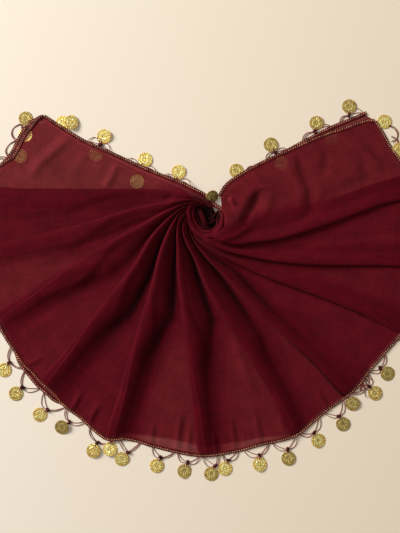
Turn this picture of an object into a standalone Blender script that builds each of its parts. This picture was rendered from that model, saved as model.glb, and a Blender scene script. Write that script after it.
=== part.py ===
"""Coin hip scarf laid flat: a doubled chiffon cloth drawn into a pinwheel of pleats
round an open eye, edged with a crochet band that carries thread loops and coins.

Sizes are millimetres and angles are degrees, counted from the right of the eye
towards the top. Polar tables take the middle of the eye as their centre.
"""
import math

import bpy
import numpy as np

MM = 0.001
EYE_X, EYE_Y = 5.0, 90.0  # where the eye lies in the part's frame

CLOTH_WALL = 1.0
LAYER_GAP = 0.8  # air between two layers of one pleat
SEAM_GAP = 0.3  # air between pieces that are sewn together
HALF_PITCH = (CLOTH_WALL + LAYER_GAP) / 2
UNDER_WALL = 1.0
REST_HEIGHT = UNDER_WALL + SEAM_GAP + CLOTH_WALL / 2  # middle of the lowest run of cloth

WING_LIFT = 1.3  # the wings lie on the coins between the layers
HIDDEN_SHORT = 3.0  # how far a fold's hidden layers end short of the hem

BAND_WIDTH = 4.4
BAND_THICK = 1.1
BAND_END = 0.4  # a piece of band stops this far short of the next
THREAD = 0.85
KNOT = 2.2
COIN_RADIUS = 9.0
COIN_THICK = 0.9
COIN_HOLE = 1.4
COIN_SIDES = 14
HOLE_INSET = 2.4  # from the coin's rim to the middle of its hole

# The upper cloth's hem, which the band's outer edge follows. A row per scallop.
HEM = (
    # angle, reach
    (140.0, 236), (146.5, 238), (147.6, 244), (150.2, 250), (153.4, 255), (160.9, 257),
    (165.0, 265), (172.7, 290), (179.1, 309), (183.0, 313), (188.5, 310), (197.3, 296),
    (204.0, 291), (212.2, 293), (215.3, 292), (218.7, 295), (222.0, 292), (225.5, 293),
    (229.2, 292), (233.2, 296), (238.8, 297), (244.0, 304), (246.6, 307), (247.5, 306),
    (249.6, 298), (253.2, 295), (259.7, 297), (264.0, 299), (268.8, 302), (271.9, 302),
    (276.8, 300), (284.9, 297), (291.5, 301), (294.2, 301), (297.7, 296), (303.1, 291),
    (308.8, 292), (313.1, 292), (318.2, 288), (323.9, 289), (329.2, 293), (338.6, 300),
    (345.4, 308), (349.8, 307), (356.1, 296), (365.0, 278), (376.9, 263), (380.9, 257),
    (386.9, 255), (391.5, 253), (396.0, 252), (404.0, 252),
)

# The rim of the eye, from the end of the left wing round to the right wing.
EYE_RIM = (
    # angle, reach
    (35, 21), (98, 18.5), (123, 18.5), (149, 16.5), (185, 13.5), (235, 13.5),
    (277, 19), (307, 26), (342, 25.5), (384, 28),
)

RADII = (20, 26, 36, 50, 72, 100, 140, 190, 250, 300)

# A row per fold: the angle of its crisp edge at each of RADII, how far the three
# layers lie on each other near the hem, and how high the pleat stands.
PLEATS = (
    # name, overlap, height, angles
    ("left_hem", 0, 1.6, (48.0, 80.0, 106.0, 122.0, 134.0, 140.8, 145.0, 147.6, 147.6, 147.6)),
    ("pleat_0", 24, 1.2, (64.0, 96.0, 119.0, 135.0, 148.5, 157.8, 164.4, 168.5, 171.2, 172.0)),
    ("pleat_1", 19, 3.2, (86.0, 114.0, 138.0, 154.0, 165.5, 173.9, 180.9, 184.6, 186.7, 187.6)),
    ("pleat_2", 24, 4.0, (106.0, 130.0, 154.0, 170.0, 183.0, 190.1, 195.9, 200.0, 203.4, 205.7)),
    ("pleat_3", 22, 7.0, (123.0, 143.0, 169.0, 185.9, 200.5, 212.5, 218.2, 221.7, 224.1, 225.2)),
    ("pleat_4", 22, 8.0, (139.0, 156.5, 184.0, 203.7, 219.5, 230.8, 237.4, 241.7, 244.7, 246.6)),
    ("pleat_5", 22, 8.0, (154.0, 170.0, 207.4, 229.9, 243.5, 253.2, 260.2, 264.9, 267.7, 269.6)),
    ("pleat_6", 22, 8.0, (174.0, 199.0, 233.7, 257.0, 268.0, 276.2, 283.5, 288.8, 291.5, 292.0)),
    ("pleat_7", 36, 6.0, (212.0, 237.7, 260.3, 275.6, 288.5, 295.3, 300.7, 305.2, 307.8, 308.6)),
    ("pleat_8", 26, 5.0, (234.0, 252.0, 277.0, 293.5, 307.2, 315.4, 322.3, 327.0, 329.5, 330.3)),
    ("pleat_9", 30, 4.0, (264.0, 275.0, 291.0, 304.8, 318.8, 327.7, 335.5, 341.8, 346.2, 348.1)),
    ("pleat_10", 27, 4.0, (295.0, 300.0, 308.0, 319.0, 334.7, 344.7, 354.1, 361.1, 365.9, 367.5)),
    ("right_hem", 0, 2.0, (383.0, 387.0, 408.0, 411.5, 407.0, 402.4, 397.6, 394.2, 390.2, 389.0)),
)

# Rows of the cloth from the rim of the eye (0) to the hem (1).
ROWS = (0.0, 0.016, 0.038, 0.07, 0.11, 0.155, 0.205, 0.255, 0.3, 0.345, 0.41, 0.5, 0.61, 0.74,
        0.88, 1.0)
# How a pleat's top layer comes down after its fold: shares of the fold's own height
# and of the pleat's height, at four places across it.
TOP_LAYER = (
    # fold share, height share
    (1.0, 0.85), (1.0, 1.0), (0.5, 0.5), (0.0, 0.0),
)

# How far the under layer's top right hem lies outside the upper one.
UNDER_BEYOND = (
    # radius, distance
    (77, -3.0), (120, -1.5), (184, 2.3), (245, 8.5),
)

# How far the under layer's hem lies inside the upper hem; below 0 it shows outside it.
UNDER_INSET = (
    # angle, inset
    (147, 8), (165, 7), (205, 7), (214, 2), (219, -3), (224, -6), (230, -6), (233, 2),
    (240, 8), (250, 11), (290, 11), (310, 8), (345, 7), (375, 6), (386, 3), (391, -4),
)

# A row per coin: the hem it hangs from, its middle, and the angle from there to its knot,
# or None where the coin lies so close that the hem hides its thread.
COINS = (
    # hem, x, y, knot angle
    ("top_left", -176.5, 121.9, None), ("top_left", -165.7, 122.5, None),
    ("top_left", -124.1, 104.8, -115), ("top_left", -71.9, 75.4, -125),
    ("top_left", -29.6, 59.7, -105), ("top_left", 12.4, 27.6, None),
    ("left", -223.5, 127.4, None), ("left", -224.0, 106.7, None), ("left", -273.0, 78.0, -30), ("left", -322.0, 19.0, 0),
    ("left", -333.0, -32.0, 8), ("left", -312.0, -85.0, 15), ("bottom_1", -284.0, -140.0, 32),
    ("bottom_1", -250.8, -191.8, 57), ("under_left", -236.2, -221.7, 43),
    ("under_left", -205.7, -248.4, 32), ("bottom_1", -177.8, -264.2, 35),
    ("bottom_1", -137.8, -294.3, 64), ("bottom_2", -116.8, -292.1, None),
    ("bottom_2", -101.6, -304.8, 49), ("bottom_2", -57.2, -313.3, 65),
    ("bottom_2", -22.2, -320.0, 70), ("bottom_3", 11.7, -323.6, 64),
    ("bottom_3", 29.3, -317.0, 70), ("bottom_3", 73.4, -311.5, 91),
    ("bottom_3", 109.9, -303.9, 95), ("bottom_3", 147.8, -281.3, 119),
    ("bottom_3", 179.2, -260.4, 118), ("bottom_4", 191.1, -234.3, None),
    ("bottom_4", 219.7, -221.0, 132), ("bottom_4", 235.6, -196.2, 145),
    ("right", 274.0, -150.0, 150), ("right", 302.0, -108.0, 160), ("right", 321.0, -62.0, 172),
    ("right", 318.0, -14.0, 185), ("right", 297.0, 34.0, 200), ("right", 250.5, 88.0, None),
    ("right", 231.5, 123.5, None),
    ("top_right", 43.8, 61.2, -40), ("top_right", 87.4, 94.5, -62),
    ("top_right", 145.4, 121.9, -100), ("top_right", 186.9, 142.9, -92),
)
# Coins of the upper right and left hems that lie between the two layers.
HIDDEN_COINS = (
    # x, y
    (-230.5, 80.0), (-134.4, 81.7), (-82.3, 47.5), (101.1, 70.7), (164.3, 102.2),
)

STACKED_COIN = 1  # it lies on the coin before it
TIPPED_COIN = 7  # it lies tipped on top of the left hem
HOLE_TURNS = {}  # filled in as the bands are made: the angle of each coin's hole

# A row per piece of band: where on which edge it runs.
BANDS = (
    # name, edge, from, to (angles on a hem, radii on a wing's edge)
    ("top_left", "left_edge", 20, 260),
    ("left", "hem", 147.0, 205.8),
    ("bottom_1", "hem", 205.7, 246.7),
    ("bottom_2", "hem", 246.5, 269.7),
    ("bottom_3", "hem", 269.5, 308.7),
    ("bottom_4", "hem", 308.5, 330.4),
    ("right", "hem", 330.2, 392.0),
    ("upper_right", "right_edge", 60, 260),
    ("top_right", "under_edge", 70, 260),
    ("under_left", "under_hem", 217.0, 235.0),
)


def clear_scene():
    for ob in list(bpy.data.objects):
        bpy.data.objects.remove(ob, do_unlink=True)


def make_material(name, colour, metallic, roughness):
    mat = bpy.data.materials.new(name)
    mat.use_nodes = True
    shader = mat.node_tree.nodes["Principled BSDF"]
    shader.inputs["Base Color"].default_value = (*colour, 1.0)
    shader.inputs["Metallic"].default_value = metallic
    shader.inputs["Roughness"].default_value = roughness
    return mat


def add_object(name, points, faces, mat):
    """A mesh object from points in millimetres about the eye."""
    shifted = [((x + EYE_X) * MM, (y + EYE_Y) * MM, z * MM) for x, y, z in points]
    mesh = bpy.data.meshes.new(name)
    mesh.from_pydata(shifted, [], faces)
    mesh.validate()
    mesh.materials.append(mat)
    ob = bpy.data.objects.new(name, mesh)
    bpy.context.scene.collection.objects.link(ob)
    return ob


def on_table(value, table, column=1):
    return float(np.interp(value, [row[0] for row in table], [row[column] for row in table]))


def polar(angle, reach):
    a = math.radians(angle)
    return np.array((reach * math.cos(a), reach * math.sin(a)))


def fold_angle(i, reach):
    return float(np.interp(reach, RADII, PLEATS[i][3]))


def cloth_hem(angle):
    """Reach of the upper cloth's own edge, inside its band."""
    return on_table(angle, HEM) - BAND_WIDTH - SEAM_GAP


def fade(value, low, high):
    t = min(max((value - low) / (high - low), 0.0), 1.0)
    return t * t * (3 - 2 * t)


def lift(reach):
    """The cloth bunches up round the eye and dips into it."""
    outside = 9.5 * math.exp(-(((reach - 30) / 30) ** 2))
    return outside * (0.35 + 0.65 * fade(reach, 14, 30))


def flatness(reach):
    """0 near the eye, where the pleats are ramps, to 1 where they lie folded flat."""
    return fade(reach, 84, 118)


def spacing_after(i, reach):
    return math.radians(fold_angle(i + 1, reach) - fold_angle(i, reach)) * reach


def step_of(i, reach):
    """The six points that carry the cloth over fold i: down in the pleat, back and up."""
    spacing = min(spacing_after(i - 1, reach), spacing_after(i, reach))
    flat = flatness(reach)
    overlap = 2.4 * HALF_PITCH + PLEATS[i][1] * fade(reach, 112, 185)
    overlap = min(overlap, 0.42 * spacing_after(i, reach) + 2.4 * HALF_PITCH)
    folded = ((overlap - HALF_PITCH, 0), (overlap, 1), (overlap - HALF_PITCH, 2),
              (HALF_PITCH, 2), (0, 3), (HALF_PITCH, 4))
    width = min(5.0, 0.4 * spacing)
    points = []
    for k, (across, layer) in enumerate(folded):
        ramp = width * (k / 5 - 0.5)
        height = 4 * fade(reach, -30, 110) * fade(k, -1.2, 5.2)
        offset = flat * across + (1 - flat) * ramp
        points.append((offset, HALF_PITCH * (flat * layer + (1 - flat) * height)))
    return points


def section(share):
    """Plan point and height of the cloth's middle surface along one row, and how far
    its wall is set off square to the cloth (1) instead of straight up (0)."""
    out = []

    def add(i, t, offset, height, reach, hidden=False):
        start, end = fold_angle(i, reach), fold_angle(min(i + 1, last), reach)
        angle = start + (end - start) * t + math.degrees(offset / reach)
        bent = row_reach_at(angle, reach, share) - HIDDEN_SHORT * hidden * fade(share, 0.8, 1)
        out.append((polar(angle, bent), height, fade(reach, 56, 80), not hidden))

    last = len(PLEATS) - 1
    for i in range(last):
        reach = row_reach(i, 0.0, share)
        rest = REST_HEIGHT + lift(reach)
        if i == 0:
            final = 0.66 + 0.3 * flatness(reach)
            for place, rise in ((0.0, 1.2), (0.3, 2.3), (0.7, 2.1), (1.0, WING_LIFT)):
                t = place * final
                reach = row_reach(i, t, share)
                low = REST_HEIGHT + lift(reach)
                add(0, t, 0.0, low + rise * fade(reach, 30, 70), reach)
            continue
        steps = step_of(i, reach)
        base = WING_LIFT * fade(reach, 30, 70) if i == 1 else 0.0
        for k, (offset, height) in enumerate(steps):
            add(i, 0.0, offset, rest + base + height, reach, hidden=k < 4)
        for t, fold_share, height_share in top_places(i, reach, steps):
            reach = row_reach(i, t, share)
            low = REST_HEIGHT + lift(reach)
            fall = (steps[-1][1] + base) * fold_share
            if i == last - 1:
                fall = max(fall, WING_LIFT * fade(reach, 30, 70))
            add(i, t, 0.0, low + fall + pleat_height(i, reach) * height_share, reach)
    return out


def pleat_height(i, reach):
    return PLEATS[i][2] * fade(reach, 24, 74) * (1 - 0.62 * fade(reach, 130, 290))


def top_places(i, reach, steps):
    """Where the top layer of pleat i has its points, past the three layers of its fold."""
    spacing = spacing_after(i, reach)
    first = steps[-1][0] / spacing
    final = 1.0 if i == len(PLEATS) - 2 else 0.66 + 0.3 * flatness(reach)
    past = max((steps[1][0] + HALF_PITCH) / spacing, first + 0.38 * (final - first))
    places = (first + 0.4 * (past - first), past, (past + final) / 2, final)
    return [(t, *shares) for t, shares in zip(places, TOP_LAYER)]


def row_reach(i, t, share):
    """Reach of a row on the line that lies at t between fold i and the next."""
    far = len(RADII) - 1
    a_far = PLEATS[i][3][far] * (1 - t) + PLEATS[min(i + 1, len(PLEATS) - 1)][3][far] * t
    a_near = PLEATS[i][3][0] * (1 - t) + PLEATS[min(i + 1, len(PLEATS) - 1)][3][0] * t
    near = on_table(a_near, EYE_RIM)
    return near + (cloth_hem(a_far) - near) * share


def row_reach_at(angle, reach, share):
    """Near the hem a row bends to follow the hem at its own angle."""
    follow = fade(share, 0.8, 1.0)
    return reach * (1 - follow) + cloth_hem(angle) * follow


def unit(v):
    return v / max(float(np.linalg.norm(v)), 1e-6)


def thickness_at(rows, r, k):
    """Half the wall as a vector from the middle surface to its upper skin."""
    count = len(rows[0])
    down, out = rows[max(r - 1, 0)][k], rows[min(r + 1, len(rows) - 1)][k]
    ridge = unit(out[0] - down[0])
    across = np.array((-ridge[1], ridge[0]))
    here = rows[r][k]
    tangent = np.zeros(2)
    for a, b in ((rows[r][max(k - 1, 0)], here), (here, rows[r][min(k + 1, count - 1)])):
        tangent += unit(np.array((float(np.dot(b[0] - a[0], across)), b[1] - a[1])))
    tangent = unit(tangent)
    normal = np.array((*(across * -tangent[1]), tangent[0]))
    square = here[2]
    upright = np.array((0.0, 0.0, min(1.5, 1.0 / max(tangent[0], 0.05))))
    return (upright * (1 - square) + normal * square) * CLOTH_WALL / 2


def wall_from(rows):
    """Two skins, half a wall each side of the middle surface, joined at the edges."""
    count = len(rows[0])
    skins = []
    for side in (1, -1):
        for r, row in enumerate(rows):
            for k, (plan, height, _, _) in enumerate(row):
                half = thickness_at(rows, r, k) * side
                skins.append((plan[0] + half[0], plan[1] + half[1], height + half[2]))
    below = len(rows) * count
    faces = []
    for r in range(len(rows) - 1):
        for k in range(count - 1):
            a, b = r * count + k, r * count + k + 1
            c, d = b + count, a + count
            faces.append((d, c, b, a))
            faces.append((below + a, below + b, below + c, below + d))
    border = list(range(count))
    border += [r * count + count - 1 for r in range(1, len(rows))]
    border += [(len(rows) - 1) * count + k for k in range(count - 2, -1, -1)]
    border += [r * count for r in range(len(rows) - 2, 0, -1)]
    for a, b in zip(border, border[1:] + border[:1]):
        faces.append((a, b, below + b, below + a))
    return skins, faces


def build_upper_cloth(rows, mat):
    points, faces = wall_from(rows)
    return add_object("upper_cloth", points, faces, mat)


def under_hem(angle):
    return on_table(angle, HEM) - BAND_WIDTH - SEAM_GAP - on_table(angle, UNDER_INSET)


def under_hem_line():
    """The under layer's own hem as plan points, with the angle of each."""
    angles = [150.0 + 4.0 * k for k in range(61)]
    return [(a, polar(a, under_hem(a))) for a in angles]


def under_right_line():
    """The under layer's top right hem, from near the eye to the wing's corner."""
    line = []
    for reach in (68, 78, 110, 150, 195, 246):
        side = polar(fold_angle(len(PLEATS) - 1, reach), reach)
        line.append((reach, side + polar(120.0, on_table(reach, UNDER_BEYOND))))
    return line


def edge_points(edge, rows, start, end):
    """Plan points and heights of a hem or edge between two angles or two radii."""
    flat = BAND_THICK / 2
    if edge == "under_hem":
        line = [(a, p, flat) for a, p in under_hem_line()]
    elif edge == "under_edge":
        line = [(r, p, flat) for r, p in under_right_line()]
    elif edge == "hem":
        line = [(math.degrees(math.atan2(p[1], p[0])) % 360, p, z)
                for p, z, _, seen in rows[-1] if seen]
        line = [(a + 360 if a < 100 else a, p, z) for a, p, z in line]
    else:
        column = 0 if edge == "left_edge" else -1
        line = [(float(np.hypot(*row[column][0])), row[column][0], row[column][1])
                for row in rows]
    kept = [(p, z) for place, p, z in line if start <= place <= end]
    return [p for p, _ in kept], [z for _, z in kept]


def build_under_cloth(mat):
    """The layer below is pressed flat, so it is one thin slab with its own hem."""
    hem = [p for _, p in under_hem_line()]
    right = [p for _, p in under_right_line()][::-1]
    middle = [np.array(p) for p in ((46, 44), (32, 24), (26, 10), (16, 9), (4, 16), (-8, 26))]
    left = [polar(fold_angle(0, r), r) + polar(-120, inset)
            for r, inset in ((44, 14), (68, 16), (98, 15), (131, 12), (187, 7), (232, 6))]
    line = hem + right + middle + left
    count = len(line)
    points = [(x, y, 0.0) for x, y in line] + [(x, y, UNDER_WALL) for x, y in line]
    faces = [tuple(range(count))[::-1], tuple(range(count, 2 * count))]
    for k in range(count):
        n = (k + 1) % count
        faces.append((k, n, count + n, count + k))
    return add_object("under_cloth", points, faces, mat)


class Line:
    """A bent line on the plan that gives point, direction and height at a distance."""

    def __init__(self, points, heights):
        runs = [0.0]
        for a, b in zip(points, points[1:]):
            runs.append(runs[-1] + float(np.hypot(*(b - a))))
        self.points, self.heights, self.runs = points, heights, runs
        self.length = runs[-1]

    def plan(self, s):
        return np.array([np.interp(s, self.runs, [p[j] for p in self.points]) for j in (0, 1)])

    def height(self, s):
        return float(np.interp(s, self.runs, self.heights))

    def ahead(self, s, step=0.05):
        before, after = max(s - step, 0.0), min(s + step, self.length)
        return unit(self.plan(after) - self.plan(before))

    def widen(self, s, step=0.05):
        """How much a strip beside the line is widened where the line bends."""
        if s < step or s > self.length - step:
            return 1.0
        before, after = self.ahead(s - step, step / 2), self.ahead(s + step, step / 2)
        return 1.0 / max(math.cos(math.acos(min(1.0, float(np.dot(before, after)))) / 2), 0.7)


def strand_ring(middle, side, up, half_side, half_up):
    return [tuple(middle - side * half_side + up * half_up),
            tuple(middle + side * half_side + up * half_up),
            tuple(middle + side * half_side - up * half_up),
            tuple(middle - side * half_side - up * half_up)]


def add_strand(points, faces, root, path, sizes, sign):
    """A thread of four sides that grows out of the band's own face `root`."""
    last = list(root)
    for k, middle in enumerate(path):
        before = path[k - 1] if k else middle - (path[1] - path[0])
        after = path[min(k + 1, len(path) - 1)]
        ahead = after - before
        ahead = ahead / max(float(np.linalg.norm(ahead)), 1e-6)
        flat = np.array((ahead[0], ahead[1], 0.0))
        flat /= max(float(np.linalg.norm(flat)), 1e-6)
        side = np.array((-flat[1], flat[0], 0.0)) * sign
        up = np.cross(ahead, side) * sign
        up = up if up[2] > 0 else -up
        ring = strand_ring(middle, side, up, sizes[k] / 2, sizes[k] / 2)
        start = len(points)
        points.extend(ring)
        now = [start, start + 1, start + 2, start + 3]
        for j in range(4):
            n = (j + 1) % 4
            faces.append((last[j], last[n], now[n], now[j]))
        last = now
    faces.append(tuple(last))


def hooks_on(name, line, outward):
    """The coins of this band: those on a loop with a knot, and those close to the hem."""
    loops, close = [], []
    samples = np.linspace(2.0, line.length - 2.0, 300)
    plans = np.array([line.plan(s) for s in samples])
    for k, (hem, x, y, turn) in enumerate(COINS):
        if hem != name or k == TIPPED_COIN:
            continue
        middle = np.array((x, y))
        knot = middle + polar(turn or 0.0, (COIN_RADIUS + 2.6) * (turn is not None))
        near = float(samples[np.argmin(np.hypot(*(plans - knot).T))])
        ahead = line.ahead(near, 1.5)
        out = np.array((-ahead[1], ahead[0])) * outward
        clear = float(np.dot(knot - line.plan(near), out)) - SEAM_GAP - BAND_WIDTH
        push = max(0.0, KNOT / 2 + 2.4 - clear)
        if turn is not None and push < 2.8:
            loops.append((near, k, middle, knot + out * push))
        else:
            close.append(k)
    loops.sort(key=lambda f: f[0])
    hooks = []
    for n, (near, k, middle, knot) in enumerate(loops):
        left = loops[n - 1][0] if n else -99.0
        right = loops[n + 1][0] if n + 1 < len(loops) else line.length + 99.0
        first = max(near - 15.0, (near + left) / 2 + 1.6, 2.4)
        second = min(near + 15.0, (near + right) / 2 - 1.6, line.length - 2.4)
        if second - first > 3.2:
            hooks += [(first, "long", middle, knot), (second, "short", middle, knot)]
            HOLE_TURNS[k] = math.degrees(math.atan2(*(knot - middle)[::-1]))
        else:
            close.append(k)
    for k in close:
        hook = close_hook(k, line, outward, samples, plans, [h[0] for h in hooks])
        if hook:
            hooks.append(hook)
    return hooks


def close_hook(k, line, outward, samples, plans, taken):
    """A short thread from the band to a coin that lies partly under the hem."""
    middle = np.array(COINS[k][1:3])
    near = float(samples[np.argmin(np.hypot(*(plans - middle).T))])
    ahead = line.ahead(near, 1.5)
    out = np.array((-ahead[1], ahead[0])) * outward
    clear = float(np.dot(middle - line.plan(near), out)) - SEAM_GAP - BAND_WIDTH
    reach = COIN_RADIUS - HOLE_INSET
    lean = math.acos(min(1.0, max(-1.0, (clear - 3.2) / reach)))
    sides = []
    for way in (1, -1):
        across = (-out * math.cos(lean) + way * ahead * math.sin(lean)) * reach
        hole = middle + across
        s = float(samples[np.argmin(np.hypot(*(plans - hole).T))])
        s = min(max(s, 2.4), line.length - 2.4)
        free = min([abs(s - t) for t in taken] + [99.0])
        if free > 1.6:
            sides.append((free, s, across))
    if not sides:
        return None
    _, s, across = max(sides, key=lambda side: side[0])
    HOLE_TURNS[k] = math.degrees(math.atan2(across[1], across[0]))
    return (s, "close", middle, middle + across)


def build_band(name, edge, start, end, rows, mat):
    """A strip beside its hem; the loops grow out of its outer side."""
    line = Line(*edge_points(edge, rows, start, end))
    outward = 1.0 if edge in ("right_edge", "under_edge") else -1.0
    roots = {}
    for s, which, middle, knot in hooks_on(name, line, outward):
        roots[s] = (which, middle, knot)
    stations = [s for s in line.runs[1:-1] if all(abs(s - r) > 1.0 for r in roots)]
    stations += [BAND_END, line.length - BAND_END]
    for s in roots:
        stations += [s - THREAD / 2, s + THREAD / 2]
    stations = sorted(stations)
    points, faces = [], []
    for s in stations:
        plan, height = line.plan(s), line.height(s)
        ahead = line.ahead(s)
        out = np.array((-ahead[1], ahead[0])) * outward * line.widen(s)
        inner, outer = plan + out * SEAM_GAP, plan + out * (SEAM_GAP + BAND_WIDTH)
        low, high = height - BAND_THICK / 2, height + BAND_THICK / 2
        points += [(*inner, low), (*inner, high), (*outer, high), (*outer, low)]
    for k in range(len(stations) - 1):
        a, b = 4 * k, 4 * (k + 1)
        middle_s = (stations[k] + stations[k + 1]) / 2
        root = next((s for s in roots if abs(s - middle_s) < 0.05), None)
        for j in range(4):
            n = (j + 1) % 4
            if j == 2 and root is not None:
                continue
            faces.append((a + j, a + n, b + n, b + j))
        if root is not None:
            which, middle, knot = roots[root]
            ahead = line.ahead(root)
            out = np.array((-ahead[1], ahead[0])) * outward
            outer = line.plan(root) + out * (SEAM_GAP + BAND_WIDTH)
            root_point = np.array((*outer, line.height(root)))
            ring = [a + 2, b + 2, b + 3, a + 3]
            path, sizes = strand_path(which, root_point, out, middle, knot)
            add_strand(points, faces, ring, path, sizes, -outward)
    faces.append((0, 3, 2, 1))
    end_ring = 4 * (len(stations) - 1)
    faces.append((end_ring, end_ring + 1, end_ring + 2, end_ring + 3))
    ob = add_object("band_" + name, points, faces, mat)
    face_outwards(ob)
    return ob


def strand_path(which, root_point, out, middle, knot):
    """From the band over the floor to the knot, and for one thread on to the coin's hole."""
    over = COIN_THICK + SEAM_GAP + THREAD / 2
    root_xy = root_point[:2]
    if which == "close":
        if tuple(middle) == COINS[STACKED_COIN][1:3]:
            over += COIN_THICK + SEAM_GAP
        first = root_xy + out * 0.9
        path = [(*first, max(root_point[2] - 0.2, over)), (*(knot - out * 0.9), over + 0.1),
                (*knot, over - 0.7)]
        return [np.array(p) for p in path], [THREAD, THREAD, 0.6]
    first = root_xy + out * 2.2
    if which == "short":
        gap = root_xy - knot
        gap /= max(float(np.hypot(*gap)), 1e-6)
        last = knot + gap * (KNOT / 2 + 0.8)
        bow = (first + last) / 2 + out * 1.2
        path = [(*first, max(root_point[2] - 0.6, over)), (*bow, over), (*last, over)]
        return [np.array(p) for p in path], [THREAD, THREAD, THREAD]
    ahead = middle - knot
    ahead /= float(np.hypot(*ahead))
    hole = middle - ahead * (COIN_RADIUS - HOLE_INSET)
    bow = (first + knot) / 2 + out * 1.2
    path = [(*first, max(root_point[2] - 0.6, over)), (*bow, over),
            (*(knot - ahead * 0.9), over), (*knot, over), (*(knot + ahead * 1.1), over),
            (*(hole - ahead * 0.7), over + 0.1), (*(hole + ahead * 0.1), over - 0.7)]
    return [np.array(p) for p in path], [THREAD, THREAD, THREAD, KNOT * 0.8, THREAD, THREAD, 0.6]


def face_outwards(ob):
    """Turns every face out, whichever way its ring was wound."""
    import bmesh
    bm = bmesh.new()
    bm.from_mesh(ob.data)
    bmesh.ops.recalc_face_normals(bm, faces=bm.faces[:])
    bm.to_mesh(ob.data)
    bm.free()


def build_coin(name, x, y, low, turn, tilt, mat):
    """A disc with a hole near its rim, the hole towards the knot."""
    points, rings = [], []
    hole_at = polar(turn, COIN_RADIUS - HOLE_INSET)
    for z in (0.0, COIN_THICK):
        for reach, sides, centre in ((COIN_RADIUS, COIN_SIDES, (0.0, 0.0)),
                                     (COIN_HOLE, COIN_SIDES, hole_at)):
            ring = []
            for k in range(sides):
                p = polar(turn + 360.0 * k / sides, reach) + np.array(centre)
                rise = z + tilt * (p[0] + COIN_RADIUS)
                ring.append(len(points))
                points.append((x + p[0], y + p[1], low + rise))
            rings.append(ring)
    faces = []
    outer_low, hole_low, outer_high, hole_high = rings
    for k in range(COIN_SIDES):
        n = (k + 1) % COIN_SIDES
        faces.append((outer_high[k], outer_high[n], hole_high[n], hole_high[k]))
        faces.append((outer_low[n], outer_low[k], hole_low[k], hole_low[n]))
        faces.append((outer_low[k], outer_low[n], outer_high[n], outer_high[k]))
        faces.append((hole_low[n], hole_low[k], hole_high[k], hole_high[n]))
    ob = add_object(name, points, faces, mat)
    face_outwards(ob)
    return ob


def build_coins(mat):
    for k, (_, x, y, _) in enumerate(COINS):
        low, tilt = 0.0, 0.0
        if k == STACKED_COIN:
            low = COIN_THICK + SEAM_GAP
        if k == TIPPED_COIN:
            low, tilt = 6.6, -0.1
        turn = HOLE_TURNS.get(k, 90.0)
        build_coin(f"coin_{k + 1:02d}", x, y, low, turn, tilt, mat)
    for k, (x, y) in enumerate(HIDDEN_COINS):
        build_coin(f"hidden_coin_{k + 1}", x, y, UNDER_WALL + SEAM_GAP, 120, 0.0, mat)


def build():
    clear_scene()
    chiffon = make_material("chiffon", (0.13, 0.012, 0.018), 0.0, 0.75)
    thread = make_material("thread", (0.16, 0.02, 0.024), 0.0, 0.7)
    gold = make_material("gold", (0.62, 0.42, 0.12), 1.0, 0.3)
    rows = [section(share) for share in ROWS]
    build_under_cloth(chiffon)
    face_outwards(build_upper_cloth(rows, chiffon))
    for name, edge, start, end in BANDS:
        build_band(name, edge, start, end, rows, thread)
    build_coins(gold)


build()
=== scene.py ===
"""Coin hip scarf laid flat on a pale table and seen from straight above: a doubled
burgundy chiffon drawn into a pinwheel of pleats round an open eye, with a crochet
edging, thread loops and stamped coins. Lengths in the tables are millimetres and
angles are degrees, both counted from the middle of the eye.
"""
import math

import bmesh
import bpy
import numpy as np
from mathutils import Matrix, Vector


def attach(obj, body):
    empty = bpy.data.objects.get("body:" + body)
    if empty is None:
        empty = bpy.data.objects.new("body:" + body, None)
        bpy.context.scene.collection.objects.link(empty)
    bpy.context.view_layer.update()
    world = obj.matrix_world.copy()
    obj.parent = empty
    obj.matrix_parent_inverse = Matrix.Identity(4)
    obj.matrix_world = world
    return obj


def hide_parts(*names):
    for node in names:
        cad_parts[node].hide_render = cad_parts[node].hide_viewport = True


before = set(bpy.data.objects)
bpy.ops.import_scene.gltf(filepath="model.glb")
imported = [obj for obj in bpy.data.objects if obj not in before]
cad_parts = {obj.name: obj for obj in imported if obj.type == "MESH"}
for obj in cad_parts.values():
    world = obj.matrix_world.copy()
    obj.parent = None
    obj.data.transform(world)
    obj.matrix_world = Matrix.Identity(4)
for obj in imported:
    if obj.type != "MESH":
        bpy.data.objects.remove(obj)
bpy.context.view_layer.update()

# The table, the light and the camera.
# A smooth cream table top lit by one large window-like source from the upper left.
# The camera looks straight down, as the photograph's does.
PIXEL = 1.27  # millimetres of the scarf in one pixel of the photograph
SEEN_HEIGHT = 533 * PIXEL / 1000
MIDDLE_X, MIDDLE_Y = 0.0025, 0.0297
LENS, SENSOR = 72.0, 36.0
TABLE_HALF = 2.2


def linear(red, green, blue):
    """A colour given as eight-bit screen values."""
    out = []
    for value in (red, green, blue):
        v = value / 255
        out.append(v / 12.92 if v <= 0.04045 else ((v + 0.055) / 1.055) ** 2.4)
    return tuple(out)


def fill(tree, node, sockets):
    """Sets a node's sockets to values, or links them to the outputs of other nodes."""
    for key, value in sockets.items():
        socket = node.inputs[key if isinstance(key, int) else key.replace("_", " ")]
        if isinstance(value, bpy.types.NodeSocket):
            tree.links.new(value, socket)
        else:
            socket.default_value = value


def add_node(tree, kind, *ordered, **named):
    """A node with its sockets filled in order or by name; a key with set_ is a setting."""
    node = tree.nodes.new(kind)
    for key in [key for key in named if key.startswith("set_")]:
        setattr(node, key[4:], named.pop(key))
    fill(tree, node, {**dict(enumerate(ordered)), **named})
    return node


def calculate(tree, operation, *values, **settings):
    return add_node(tree, "ShaderNodeMath", *values, set_operation=operation, **settings).outputs[0]


def noise(tree, where, scale, detail, roughness=0.5):
    return add_node(tree, "ShaderNodeTexNoise", Vector=where, Scale=scale, Detail=detail,
                    Roughness=roughness).outputs["Fac"]


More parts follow.
